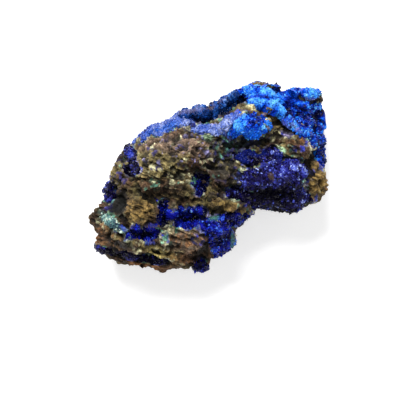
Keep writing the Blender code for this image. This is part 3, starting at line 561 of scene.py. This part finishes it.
# Flecks in the stone: (x, y, half length, half width, turn, colour, share of the surface)
FLECKS = (
    (-6.0, 3.4, 8.0, 4.5, 5, "indigo", 0.2),
    (-6.0, 3.4, 8.0, 4.5, 5, "cream", 0.26),
    (-3.0, 6.6, 3.0, 1.2, 5, "lilac", 0.4),
    (-5.0, 3.6, 7.0, 3.2, 5, "lilac", 0.16),
    (2.6, 2.6, 2.6, 4.0, 0, "verdigris", 0.16),
    (2.6, 2.6, 2.6, 4.0, 0, "indigo", 0.35),
    (2.6, 3.4, 2.2, 3.0, 0, "olive", 0.35),
    (6.0, 4.6, 4.0, 1.6, 0, "indigo", 0.5),
    (3.4, 5.2, 1.6, 1.2, 0, "verdigris", 0.45),
    (12.6, 7.4, 3.4, 2.0, -25, "cream", 0.3),
    (12.6, 6.8, 3.0, 1.4, -25, "royal", 0.25),
    (9.6, 5.9, 1.6, 0.7, 0, "cream", 0.35),
    (10.6, 6.6, 1.6, 0.6, -30, "olive", 0.6),
    (12.0, 4.4, 1.6, 0.8, -10, "verdigris", 0.5),
    (12.0, 4.2, 1.6, 0.8, -10, "cream", 0.5),
    (15.0, 5.2, 2.2, 0.9, -10, "rust", 0.45),
    (16.6, 4.4, 1.4, 1.0, -10, "cream", 0.4),
    (13.4, 5.2, 1.6, 0.8, -10, "umber", 0.6),
    (14.2, 4.1, 1.2, 0.6, 0, "royal", 0.6),
    (-11.0, -5.6, 3.0, 2.6, 0, "cream", 0.15),
    (-7.0, -2.0, 5.0, 2.2, 0, "verdigris", 0.15),
    (-6.0, -1.2, 4.0, 1.2, 0, "cream", 0.3),
    (-15.4, -7.6, 3.0, 1.6, -28, "verdigris", 0.5),
    (-15.4, -8.0, 3.2, 1.6, -28, "cream", 0.4),
    (-6.0, -8.0, 1.6, 3.4, -10, "verdigris", 0.4),
    (-3.0, -10.8, 4.0, 2.6, -10, "rust", 0.45),
    (-16.6, -9.6, 3.0, 2.4, -10, "rust", 0.4),
    (-1.4, -10.2, 1.6, 0.9, -10, "royal", 0.45),
    (-8.0, -12.4, 5.0, 1.6, -16, "cream", 0.2),
    (17.8, -0.6, 1.8, 3.2, 0, "rust", 0.3),
    (11.5, 4.0, 0.9, 0.6, -20, "celadon", 0.8),
    (-14.0, 1.0, 2.4, 4.0, -20, "indigo", 0.4),
    (-17.0, -4.4, 2.4, 3.0, -20, "indigo", 0.4),
)
for number, (*oval, name, part) in enumerate(FLECKS):
    inside = smooth_step((1.2 - oval_distance(bed[:, 0], bed[:, 1], oval)) * 2)
    inside *= smooth_step(bed[:, 2] / 2 - 2.5)
    grains = 0.6 * noise(bed, 0.42, 100 + number) + 0.5 * noise(bed, 1.1, 140 + number)
    fleck = smooth_step((grains + part - 0.55) * 5)
    stone_colours = painted(stone_colours, 0.85 * inside * fleck, name)

# Painted shade and dust in hollows: how many cells round a point count, and how deep below them is full
# shade.
HOLLOW_SIZES = (22, 2.4), (8, 1.0), (3, 0.4)


def spread(values, cells, reach):
    """The mean of a grid's values within reach cells of each point along and across, from running sums."""
    grid = values.reshape(cells[1] + 1, cells[0] + 1)
    for axis in (0, 1):
        padded = np.pad(grid, [(reach + 1, reach) if k == axis else (0, 0) for k in (0, 1)], mode="edge")
        sums, first = np.cumsum(padded, axis=axis), np.arange(grid.shape[axis])
        high, low = np.take(sums, first + 2 * reach + 1, axis), np.take(sums, first, axis)
        grid = (high - low) / (2 * reach + 1)
    return grid.ravel()


def hollow_share(points):
    """How deep each point of the show face lies in a hollow, from -1 on a crest to 1: the mean height
    round it, less its own, at three sizes."""
    height = points[:SHOW_COUNT, 2]
    depths = [(spread(height, SHOW_CELLS, reach) - height) / depth for reach, depth in HOLLOW_SIZES]
    return np.concatenate((np.clip(sum(depths) / 1.6, -1, 1), np.zeros(len(points) - SHOW_COUNT)))


# Each grain and block has a random tone of its own. Raised crumbs and fibres are painted lighter as
# highlight, and cracks and pits darker as shade.
tone_and_relief_shading = 0.32 * grain_tone + 0.2 * block_tone + 0.6 * crumble + 1.3 * fibres - 1.3 * pits - 0.15
stone_colours *= np.exp(tone_and_relief_shading)[:, None]
# Each hollow of the show face is painted darker as shade, with dust, and each crest lighter as painted
# highlight.
hollow = hollow_share(skin)
stone_colours *= np.exp(-1.6 * np.clip(hollow, -0.3, 1))[:, None]


def add_mesh(name, points, quads, triangles):
    """A mesh object with flat faces, from points in millimetres and arrays of quads and triangles."""
    mesh = bpy.data.meshes.new(name)
    mesh.vertices.add(len(points))
    mesh.vertices.foreach_set("co", (points * MM).ravel())
    mesh.loops.add(quads.size + triangles.size)
    mesh.loops.foreach_set("vertex_index", np.concatenate((quads.ravel(), triangles.ravel())))
    mesh.polygons.add(len(quads) + len(triangles))
    starts = np.concatenate((np.arange(len(quads)) * 4, quads.size + np.arange(len(triangles)) * 3))
    mesh.polygons.foreach_set("loop_start", starts)
    mesh.polygons.foreach_set("use_smooth", np.zeros(len(starts), bool))
    mesh.update(calc_edges=True)
    piece = bpy.data.objects.new(name, mesh)
    bpy.context.scene.collection.objects.link(piece)
    return piece


def add_colour(piece, colours):
    """Stores a colour for each point of the mesh, which its material reads as "tint"."""
    layer = piece.data.color_attributes.new("tint", "FLOAT_COLOR", "POINT")
    layer.data.foreach_set("color", np.column_stack((colours, np.ones(len(colours)))).ravel())


def new_material(name, build):
    """A node material whose main shader is set by build()."""
    material = bpy.data.materials.new(name)
    material.use_nodes = True
    nodes, links = material.node_tree.nodes, material.node_tree.links
    build(nodes, links, nodes["Principled BSDF"])
    return material


def tint_times(nodes, links, factor):
    """The mesh's own colour, multiplied by a grey factor."""
    tint = nodes.new("ShaderNodeAttribute")
    tint.attribute_name = "tint"
    scaled = nodes.new("ShaderNodeVectorMath")
    scaled.operation = "SCALE"
    links.new(tint.outputs["Color"], scaled.inputs[0])
    links.new(factor, scaled.inputs["Scale"])
    return scaled.outputs["Vector"]


def speckle(nodes, links, scale, detail, low, high):
    """Noise on the object's own coordinates, spread over the range from low to high."""
    place = nodes.new("ShaderNodeTexCoord")
    grain = nodes.new("ShaderNodeTexNoise")
    grain.inputs["Scale"].default_value = scale
    grain.inputs["Detail"].default_value = detail
    links.new(place.outputs["Object"], grain.inputs["Vector"])
    range_of = nodes.new("ShaderNodeMapRange")
    range_of.inputs["From Min"].default_value = 0.3
    range_of.inputs["From Max"].default_value = 0.7
    range_of.inputs["To Min"].default_value = low
    range_of.inputs["To Max"].default_value = high
    links.new(grain.outputs["Fac"], range_of.inputs["Value"])
    return range_of.outputs["Result"]


def grain_bump(nodes, links, shader, scale, detail, strength, depth):
    """A bump from the same noise, for grain that is too small to be in the mesh."""
    bump = nodes.new("ShaderNodeBump")
    bump.inputs["Strength"].default_value = strength
    bump.inputs["Distance"].default_value = depth * MM
    links.new(speckle(nodes, links, scale, detail, 0, 1), bump.inputs["Height"])
    links.new(bump.outputs["Normal"], shader.inputs["Normal"])


def ironstone_nodes(nodes, links, shader):
    """Dull broken ironstone, speckled light and dark."""
    shader.inputs["IOR"].default_value = 1.35
    grey = speckle(nodes, links, 3600, 3, 0.45, 1.7)
    links.new(tint_times(nodes, links, grey), shader.inputs["Base Color"])
    links.new(speckle(nodes, links, 1500, 2, 0.45, 0.85), shader.inputs["Roughness"])
    grain_bump(nodes, links, shader, 5200, 3, 0.6, 0.12)


stone = add_mesh("ironstone", skin, stone_quads, stone_triangles)
add_colour(stone, stone_colours)
stone.data.materials.append(new_material("ironstone", ironstone_nodes))
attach(stone, "root")
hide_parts("ironstone_matrix")

# --- How a crust of azurite is made -------------------------------------------------------------------
# Azurite grows as blocky crystals of a few tenths of a millimetre, packed side by side. A crust is a
# closed shell over its patch of the stone, with its foot in the stone, and with separate crystals
# standing out of its face.

CRYSTAL_SIZES = (0.6, 0.3)  # across the large and the small lumps of the shell's face
CRYSTAL_RISE = 0.36  # how far the large ones stand up
PRISM = 0.3  # mean width of a separate crystal
PRISMS_EACH_MM2 = 8
CRUST_STAINS_END = 8.5  # how far down the wall the stains on a crust reach


def prisms(places, axes, rng):
    """A four-sided crystal with a slanting end at each place: eight corners and six faces each."""
    count = len(places)
    across = np.cross(axes, rng.normal(size=(count, 3)))
    across /= np.linalg.norm(across, axis=1)[:, None]
    along = np.cross(axes, across)
    widths = PRISM * rng.uniform(0.25, 0.7, (count, 1)) * rng.uniform(0.6, 1.2, (count, 1))
    depths = widths * rng.uniform(0.5, 1.0, (count, 1))
    heights = PRISM * rng.uniform(0.15, 0.75, (count, 1))
    slants = rng.uniform(-0.45, 0.45, (2, count, 1))
    corners = []
    for end in (0, 1):
        for left, back in ((-1, -1), (1, -1), (1, 1), (-1, 1)):
            out = end * heights * (1 + slants[0] * left + slants[1] * back) - (1 - end) * 0.3
            aside = (across * widths * left + along * depths * back) * (1 - 0.25 * end)
            corners.append(places + aside + axes * out)
    faces = np.array([(3, 2, 1, 0), (4, 5, 6, 7), (0, 1, 5, 4), (1, 2, 6, 5), (2, 3, 7, 6), (3, 0, 4, 7)])
    return np.stack(corners, 1).reshape(-1, 3), (np.arange(count)[:, None, None] * 8 + faces).reshape(-1, 4)


def patch_cells(share):
    """The stone's cells that lie wholly inside a patch, with their corners numbered afresh, and the patch's
    open edges: those that no neighbouring cell has the other way round."""
    quads, triangles = [cells[np.all(share[cells] > 0, axis=1)] for cells in (face_quads, face_triangles)]
    used = np.unique(np.append(quads, triangles))
    number = np.full(len(share), -1)
    number[used] = np.arange(len(used))
    quads, triangles = number[quads], number[triangles]
    edges = np.vstack([np.column_stack((cells[:, k], np.roll(cells, -1, 1)[:, k]))
                       for cells in (quads, triangles) for k in range(cells.shape[1])])
    code, turned = edges @ (len(used), 1), edges @ (1, len(used))
    return used, quads, triangles, edges[~np.isin(code, turned)]


def crystal_places(top, quads, grainy, rng):
    """Where crystals stand on a crust, at random, more of them on its larger cells: the cell, the place in
    it, which mixes its four corners, and the crystal's axis, which leans at random from the cell's own."""
    facing = np.cross(top[quads[:, 2]] - top[quads[:, 0]], top[quads[:, 3]] - top[quads[:, 1]])
    areas = np.linalg.norm(facing, axis=1) / 2
    chosen = rng.choice(len(quads), int(areas.sum() * PRISMS_EACH_MM2 * grainy), p=areas / areas.sum())
    mixing = rng.dirichlet(np.ones(4), len(chosen))[:, :, None]
    places = np.sum(top[quads[chosen]] * mixing, axis=1)
    axes = facing[chosen] / (2 * areas[chosen, None]) + 0.8 * rng.normal(size=(len(chosen), 3)) / np.sqrt(3)
    return chosen, places, axes / np.linalg.norm(axes, axis=1)[:, None]


def levelled(points, level, spots):
    """A lightness from 0 to 1 for each point: the crust's own, moved towards each oval spot's level inside
    it. The spots fade in between 6 and 9 millimetres up the wall."""
    levels = np.full(len(points), float(level))
    for *oval, spot_level, strength in spots:
        inside = smooth_step((1.2 - oval_distance(points[:, 0], points[:, 1], oval)) * 1.5) * strength
        levels += (spot_level - levels) * inside * smooth_step((points[:, 2] - 6) / 3)
    return levels


def along_hues(lightness, hues):
    """Colours for lightnesses from 0 to 1, blended between hues evenly spaced from darkest to lightest."""
    steps = np.linspace(0, 1, len(hues))
    return np.column_stack([np.interp(lightness, steps, channel) for channel in zip(*hues)])


def grow_crust(node, finish, hues, level, spots, stains=(), rise=CRYSTAL_RISE, lumps=0.15,
               grainy=1.0, glint=0.4):
    """A crust as a closed shell: the stone's cells inside its patch, raised by the lumps on them, the same
    cells sunk into the stone, and a wall between the two round the edge, with crystals on top. Each spot
    is (x, y, half length, half width, turn, lightness, strength). A stain has a colour as its lightness."""
    used, quads, triangles, rim = patch_cells(shares[node])
    root, count = bed[used], len(used)
    large, tone = chips(root, CRYSTAL_SIZES[0], 71)
    small, fine_tone = chips(root, CRYSTAL_SIZES[1], 91)
    cover = smooth_step(shares[node][used] * 5)
    bumps = 0.55 * rise * (0.75 + large) + 0.6 * rise * (0.6 + small) + lumps * noise(root, 1.1, 83)
    lift = -0.35 + cover * (0.4 + bumps + 0.35 * crag[used])
    top = root + ways[used] * lift[:, None]
    foot = root - ways[used] * (SINK + 0.5)
    rng = np.random.default_rng(count)
    chosen, places, axes = crystal_places(top, quads, grainy, rng)
    crystal_points, crystal_quads = prisms(places, axes, rng)

    lightness = levelled(root, level, spots)
    lightness += 0.1 * tone + 0.08 * fine_tone + 0.22 * noise(root, 1.9, 81) + 0.2 * noise(root, 0.9, 82)
    # Painted light and shade: the tops of the large crystals and the crests are lighter, the hollows
    # darker, and the lightest small crystals lighter still as painted glints.
    lightness += 0.2 * np.clip(large + 0.3, -0.5, 0.3) + 0.2 * (fine_tone > 0.8)
    lightness -= 0.3 * np.clip(hollow[used], -0.3, 1)
    # Each separate crystal has a random tone of its own, and about one in fourteen is painted much lighter
    # as a glint.
    sparkle = 0.25 * glint * rng.normal(size=len(chosen)) + glint * (rng.random(len(chosen)) > 0.93)
    crystal_lightness = lightness[quads[chosen, 0]] + sparkle
    colours = stained(root, along_hues(lightness, hues), stains, CRUST_STAINS_END)
    crystal_colours = stained(places, along_hues(crystal_lightness, hues), stains, CRUST_STAINS_END)

    wall = np.column_stack((rim + count, rim[:, ::-1]))
    quads = np.vstack((quads, quads[:, ::-1] + count, wall, crystal_quads + 2 * count))
    triangles = np.vstack((triangles, triangles[:, ::-1] + count))
    piece = add_mesh(node + "_crystals", np.vstack((top, foot, crystal_points)), quads, triangles)
    add_colour(piece, np.vstack((colours, colours, np.repeat(crystal_colours, 8, axis=0))))
    piece.data.materials.append(finish)
    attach(piece, "root")
    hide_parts(node)



def azurite_nodes(nodes, links, shader):
    """Glassy crystals, some deeper in colour than others."""
    grey = speckle(nodes, links, 4200, 3, 0.3, 1.7)
    links.new(tint_times(nodes, links, grey), shader.inputs["Base Color"])
    links.new(speckle(nodes, links, 2500, 2, 0.06, 0.3), shader.inputs["Roughness"])
    shader.inputs["IOR"].default_value = 1.22
    grain_bump(nodes, links, shader, 6000, 2, 0.35, 0.06)


azurite = new_material("azurite crystals", azurite_nodes)

# --- The crown, the right-hand face and the horn ------------------------------------------------------
# The brightest crust: azure on the crown, royal blue down the right-hand face with a light edge, and a
# nodule like a horn at the corner.

# From the darkest crystals to the lightest, as in the other crusts.
BLUES = (
    (0.0008, 0.0015, 0.014), (0.0008, 0.004, 0.06), (0.001, 0.013, 0.24),
    (0.003, 0.065, 0.58), (0.02, 0.2, 0.74), (0.12, 0.42, 0.8),
)

grow_crust("azurite_crown_crust", azurite, BLUES, 0.36, (
    (9.2, 13.9, 3.4, 1.5, -5, 0.6, 0.9),
    (9.6, 13.4, 1.6, 0.6, -10, 0.85, 0.7),
    (6.0, 12.6, 1.6, 1.0, 40, 0.5, 0.7),
    (9.0, 11.6, 3.0, 0.5, -2, 0.8, 0.8),
    # the light blue rim, partly painted highlight
    (10.8, 10.8, 1.4, 0.6, -45, 0.92, 0.85),
    (15.6, 9.8, 3.6, 2.0, -10, 0.4, 0.9),
    (16.0, 9.2, 2.4, 0.8, -8, 0.0, 0.95),
    (14.2, 10.5, 1.3, 0.7, 0, 0.55, 0.8),
    # the light blue line along the edge of the right-hand face, partly painted highlight on the lit edge
    (11.6, 9.8, 1.2, 0.35, -56, 0.76, 0.9),
    (13.6, 7.9, 2.2, 0.3, -38, 0.74, 0.9),
    (14.0, 11.4, 1.8, 0.4, -5, 0.56, 0.7),
    (17.2, 7.0, 1.4, 2.2, 10, 0.38, 0.8),
    (18.9, 7.6, 0.35, 3.0, 0, 0.6, 0.8),
    (18.4, 4.2, 0.9, 1.8, 0, 0.44, 0.9),
    (12.2, 13.2, 1.0, 0.8, 0, 0.35, 0.6),
), (
    (8.2, 14.9, 1.6, 0.6, -5, "ochre", 1.0),
    (11.2, 13.7, 0.8, 0.4, 0, "soot", 0.8),
    (13.6, 7.8, 2.2, 0.25, -38, "lilac", 0.6),
))
grow_crust("azurite_horn", azurite, BLUES, 0.55, (
    (14.6, 13.8, 1.2, 0.6, 0, 0.6, 0.8),
    (17.6, 13.4, 1.2, 0.9, 0, 0.72, 0.9),
    (15.6, 14.1, 1.6, 0.3, -3, 0.75, 0.5),
), (
    (16.0, 12.4, 2.0, 0.4, -4, "lilac", 0.7),
))

# --- The shoulder and the trench ----------------------------------------------------------------------
# A band of lilac and azure along the upper left edge, and the crust that lines the trench behind the
# bulge, painted dark as the trench's shade, with its lilac crest painted lighter as highlight.

LILACS = (
    (0.002, 0.002, 0.01), (0.006, 0.009, 0.06), (0.014, 0.028, 0.18),
    (0.036, 0.085, 0.4), (0.11, 0.165, 0.44), (0.28, 0.33, 0.56),
)
TEALS = (
    (0.0006, 0.0015, 0.006), (0.001, 0.007, 0.035), (0.0015, 0.018, 0.1),
    (0.006, 0.05, 0.26), (0.03, 0.13, 0.42), (0.18, 0.3, 0.6),
)

grow_crust("azurite_shoulder_crust", azurite, LILACS, 0.62, (
    (-10.6, 6.4, 2.4, 0.8, 32, 0.5, 0.8),
    (-3.4, 7.8, 1.8, 0.6, 6, 0.7, 0.8),
    (0.4, 7.3, 3.4, 0.7, 2, 0.72, 0.9),
    (3.6, 8.6, 1.6, 0.6, 45, 0.66, 0.9),
    (-7.0, 9.2, 2.2, 0.5, 26, 0.7, 0.5),
), (
    (-6.2, 7.7, 2.2, 0.7, 18, "azure", 0.7),
    (-8.8, 6.9, 1.4, 0.5, 30, "azure", 0.4),
))
# The trench's crust is painted dark as the trench's shade.
grow_crust("azurite_trench_crust", azurite, TEALS, 0.26, (
    # the crest, painted lighter as highlight
    (-2.6, 10.2, 2.2, 0.4, 10, 0.74, 0.9),
    (1.4, 11.2, 1.0, 0.3, 34, 0.66, 0.9),
    (3.4, 12.8, 2.2, 0.3, 38, 0.66, 0.9),
    (0.4, 9.0, 2.4, 0.9, 12, 0.32, 0.8),
    (3.4, 11.4, 2.8, 1.0, 40, 0.56, 0.8),
), (
    (-2.8, 10.3, 2.4, 0.4, 10, "lilac", 0.75),
    (0.4, 10.8, 1.0, 0.3, 20, "rose_brown", 0.7),
    (2.4, 12.1, 0.9, 0.3, 40, "lilac", 0.6),
), lumps=0.6, grainy=1.3, glint=0.2)

# --- The knob -----------------------------------------------------------------------------------------
# A rounded knob of bright azure crystals, grown over a lump of the stone that stands out above a dark
# hollow.

grow_crust("azurite_knob", azurite, BLUES, 0.46, (
    (5.4, 9.0, 1.8, 0.4, 32, 0.72, 0.8),
    (4.6, 7.8, 0.8, 0.8, 0, 0.72, 0.8),
    (5.8, 8.0, 0.5, 0.5, 0, 0.74, 0.8),
    (7.1, 8.3, 1.3, 1.0, 0, 0.33, 0.9),
    # the lower face, painted lighter as light where the lamp leaves it in shade
    (7.4, 6.4, 2.0, 0.7, 0, 0.74, 0.95),
    (9.3, 7.6, 0.4, 0.8, 20, 0.74, 0.7),
), (
    (5.0, 9.2, 1.8, 0.3, 38, "lilac", 0.6),
    # painted light on the lower face, in bright azure
    (7.4, 6.4, 2.2, 0.7, 0, "sky", 0.85),
), rise=0.4, lumps=0.05)

# --- The druse on the right-hand boss -----------------------------------------------------------------
# Violet-blue crystals over the boss, the brightest on its top, and painted nearly black on its underside
# as shade, where they grew down into the notch.

VIOLETS = (
    (0.0015, 0.001, 0.006), (0.004, 0.0025, 0.02), (0.009, 0.007, 0.07),
    (0.026, 0.03, 0.27), (0.1, 0.14, 0.56), (0.32, 0.4, 0.8),
)

grow_crust("azurite_boss_druse", azurite, VIOLETS, 0.25, (
    (13.2, 0.5, 2.4, 1.5, 0, 0.42, 0.9),
    (13.4, 0.8, 1.6, 0.8, 0, 0.56, 0.8),
    (8.6, 0.4, 2.6, 1.8, 0, 0.24, 0.8),
    (6.8, 2.6, 2.4, 1.2, 0, 0.2, 0.8),
    # the underside, painted nearly black as shade
    (9.5, -4.2, 7.6, 2.6, 0, 0.1, 0.95),
), (
    (5.4, 2.2, 1.2, 2.0, 0, "royal", 0.6),
    (7.4, 3.6, 2.4, 0.8, -6, "royal", 0.5),
    (11.4, 2.8, 1.2, 0.5, -40, "royal", 0.6),
    (10.0, -0.1, 0.5, 0.8, 30, "rose_brown", 0.7),
), lumps=0.35, glint=0.55)

# --- The crusts round the notch -----------------------------------------------------------------------
# One crust lines the round vug, runs out along the pointed ledge and down over the lower druse to the
# edge.

INDIGOS = (
    (0.0008, 0.001, 0.008), (0.0015, 0.002, 0.035), (0.003, 0.004, 0.13),
    (0.008, 0.014, 0.38), (0.025, 0.09, 0.62), (0.16, 0.35, 0.8),
)

grow_crust("azurite_notch_crust", azurite, INDIGOS, 0.3, (
    (-1.0, -7.4, 1.1, 0.5, 20, 0.36, 0.9),
    # the upper wall of the round vug, painted lighter as light where it lies in shade
    (-3.4, -5.8, 1.6, 0.9, 10, 0.56, 0.8),
    (-4.4, -6.6, 0.6, 1.0, 0, 0.5, 0.7),
    # painted shade: the deepest part of the round vug, painted black
    (-2.7, -7.0, 1.0, 0.5, 0, 0.0, 0.95),
    (-2.8, -8.0, 1.4, 0.5, 0, 0.26, 0.9),
    (-1.2, -5.9, 0.7, 0.8, 0, 0.4, 0.7),
    (1.6, -8.4, 2.2, 0.9, -10, 0.26, 0.8),
    (0.6, -8.0, 0.9, 0.3, -10, 0.44, 0.8),
    (2.0, -10.6, 1.4, 2.2, 0, 0.22, 0.8),
    (4.4, -7.0, 2.6, 1.1, 4, 0.16, 0.9),
), (
    (1.0, -6.7, 0.9, 0.7, 0, "verdigris", 0.9),
    (3.9, -10.4, 0.4, 1.6, 0, "verdigris", 0.7),
))

# --- The small vugs, seams and patches ----------------------------------------------------------------
# Azurite crusts in the lesser hollows of the lower left, along the foot, on the stub, and by the
# left-hand edge. Each grew by itself in its own hollow.

grow_crust("azurite_oval_vug", azurite, INDIGOS, 0.3, (
    (-9.4, -9.9, 2.0, 0.4, 0, 0.34, 0.8),
    (-12.2, -8.4, 0.8, 0.5, -40, 0.45, 0.7),
), (
    (-9.6, -10.6, 2.6, 0.25, 0, "lilac", 0.6),
), lumps=0, grainy=0.8, glint=0.2)
grow_crust("azurite_arch_vug", azurite, INDIGOS, 0.3, (
    (-1.0, -1.4, 0.8, 0.8, 0, 0.42, 0.5),
), (
    (-2.2, -0.8, 0.4, 0.7, 0, "verdigris", 0.8),
    (-0.6, -1.0, 0.4, 0.3, 0, "rose_brown", 0.8),
), rise=0.5)
grow_crust("azurite_slot_vug", azurite, INDIGOS, 0.27, (
    (-7.2, -6.0, 0.6, 1.2, 0, 0.4, 0.5),
), rise=0.5)
grow_crust("azurite_foot_seam", azurite, VIOLETS, 0.14, (
    (-12.0, -12.8, 2.6, 0.4, -16, 0.18, 0.5),
), lumps=0, glint=0.15)
grow_crust("azurite_stub", azurite, INDIGOS, 0.28, (), rise=0.3, lumps=0, glint=0.2)
grow_crust("azurite_left_vein", azurite, VIOLETS, 0.22, (
    (-12.3, 3.4, 0.8, 1.0, 0, 0.62, 0.95),
), (
    (-12.3, 3.4, 0.6, 0.9, 0, "cobalt", 0.8),
), rise=0.5)
grow_crust("azurite_edge_patch", azurite, VIOLETS, 0.36, (), rise=0.5)

# --- The malachite ------------------------------------------------------------------------------------
# A speckled patch of pale green malachite and cream clay at the left, where the copper weathered
# further. It is a thin crust, chalky where the azurite is glassy.

GREENS = (
    (0.002, 0.005, 0.02), (0.005, 0.015, 0.045), (0.02, 0.06, 0.08),
    (0.08, 0.2, 0.2), (0.26, 0.42, 0.36), (0.5, 0.6, 0.5),
)


def malachite_nodes(nodes, links, shader):
    """Chalky green crust, with the same change of depth as the azurite."""
    grey = speckle(nodes, links, 4200, 3, 0.3, 1.7)
    links.new(tint_times(nodes, links, grey), shader.inputs["Base Color"])
    shader.inputs["Roughness"].default_value = 0.55


malachite = new_material("malachite crust", malachite_nodes)
grow_crust("malachite_patch", malachite, GREENS, 0.6, (), (
    (-13.4, -8.4, 0.8, 0.5, -40, "cobalt", 0.8),
), rise=0.4, lumps=0, grainy=1.6, glint=0.8)

# --- The floor, light and camera ----------------------------------------------------------------------
# The stone lies on a plain white table that glows a little, as a light panel does, under a soft lamp on
# the side of its crown and a weaker one over its foot.

TABLE = 900  # half the width of the table


def table_nodes(nodes, links, shader):
    """Plain matt white, with a glow."""
    shader.inputs["Base Color"].default_value = (0.8, 0.8, 0.8, 1)
    shader.inputs["Emission Color"].default_value = (1, 1, 1, 1)
    shader.inputs["Emission Strength"].default_value = 0.5
    shader.inputs["Roughness"].default_value = 0.9


table_corners = np.array([(-1.0, -1, 0), (1, -1, 0), (1, 1, 0), (-1, 1, 0)]) * TABLE
table = add_mesh("table", table_corners, np.array([(0, 1, 2, 3)]), np.empty((0, 3), int))
table.data.materials.append(new_material("white table", table_nodes))


def add_lamp(name, place, aim, size, power):
    """A square lamp in millimetres that faces its aim."""
    light = bpy.data.lights.new(name, "AREA")
    light.size = size * MM
    light.energy = power
    lamp = bpy.data.objects.new(name, light)
    bpy.context.scene.collection.objects.link(lamp)
    way = Vector(aim) - Vector(place)
    lamp.location = Vector(place) * MM
    lamp.rotation_euler = way.to_track_quat("-Z", "Y").to_euler()


add_lamp("key", (-60, 170, 250), (0, 0, 10), 130, 1.25)
add_lamp("fill", (60, -90, 320), (0, 0, 10), 300, 0.3)
world = bpy.data.worlds.new("studio")
world.use_nodes = True
world.node_tree.nodes["Background"].inputs["Color"].default_value = (1, 1, 1, 1)
world.node_tree.nodes["Background"].inputs["Strength"].default_value = 0.3
bpy.context.scene.world = world
bpy.context.scene.view_settings.view_transform = "Standard"

FRAME_MIDDLE = -1.22, -3.9  # the place that the camera looks straight down on
FRAME_WIDTH = 65.0  # width of its view half way up the stone
LENS, SENSOR = 120.0, 36.0
lens = bpy.data.cameras.new("camera")
lens.lens = LENS
lens.sensor_width = SENSOR
lens.clip_start = 0.01
camera = bpy.data.objects.new("camera", lens)
camera.location = (FRAME_MIDDLE[0] * MM, FRAME_MIDDLE[1] * MM, (10 + FRAME_WIDTH * LENS / SENSOR) * MM)
bpy.context.scene.collection.objects.link(camera)
bpy.context.scene.camera = camera
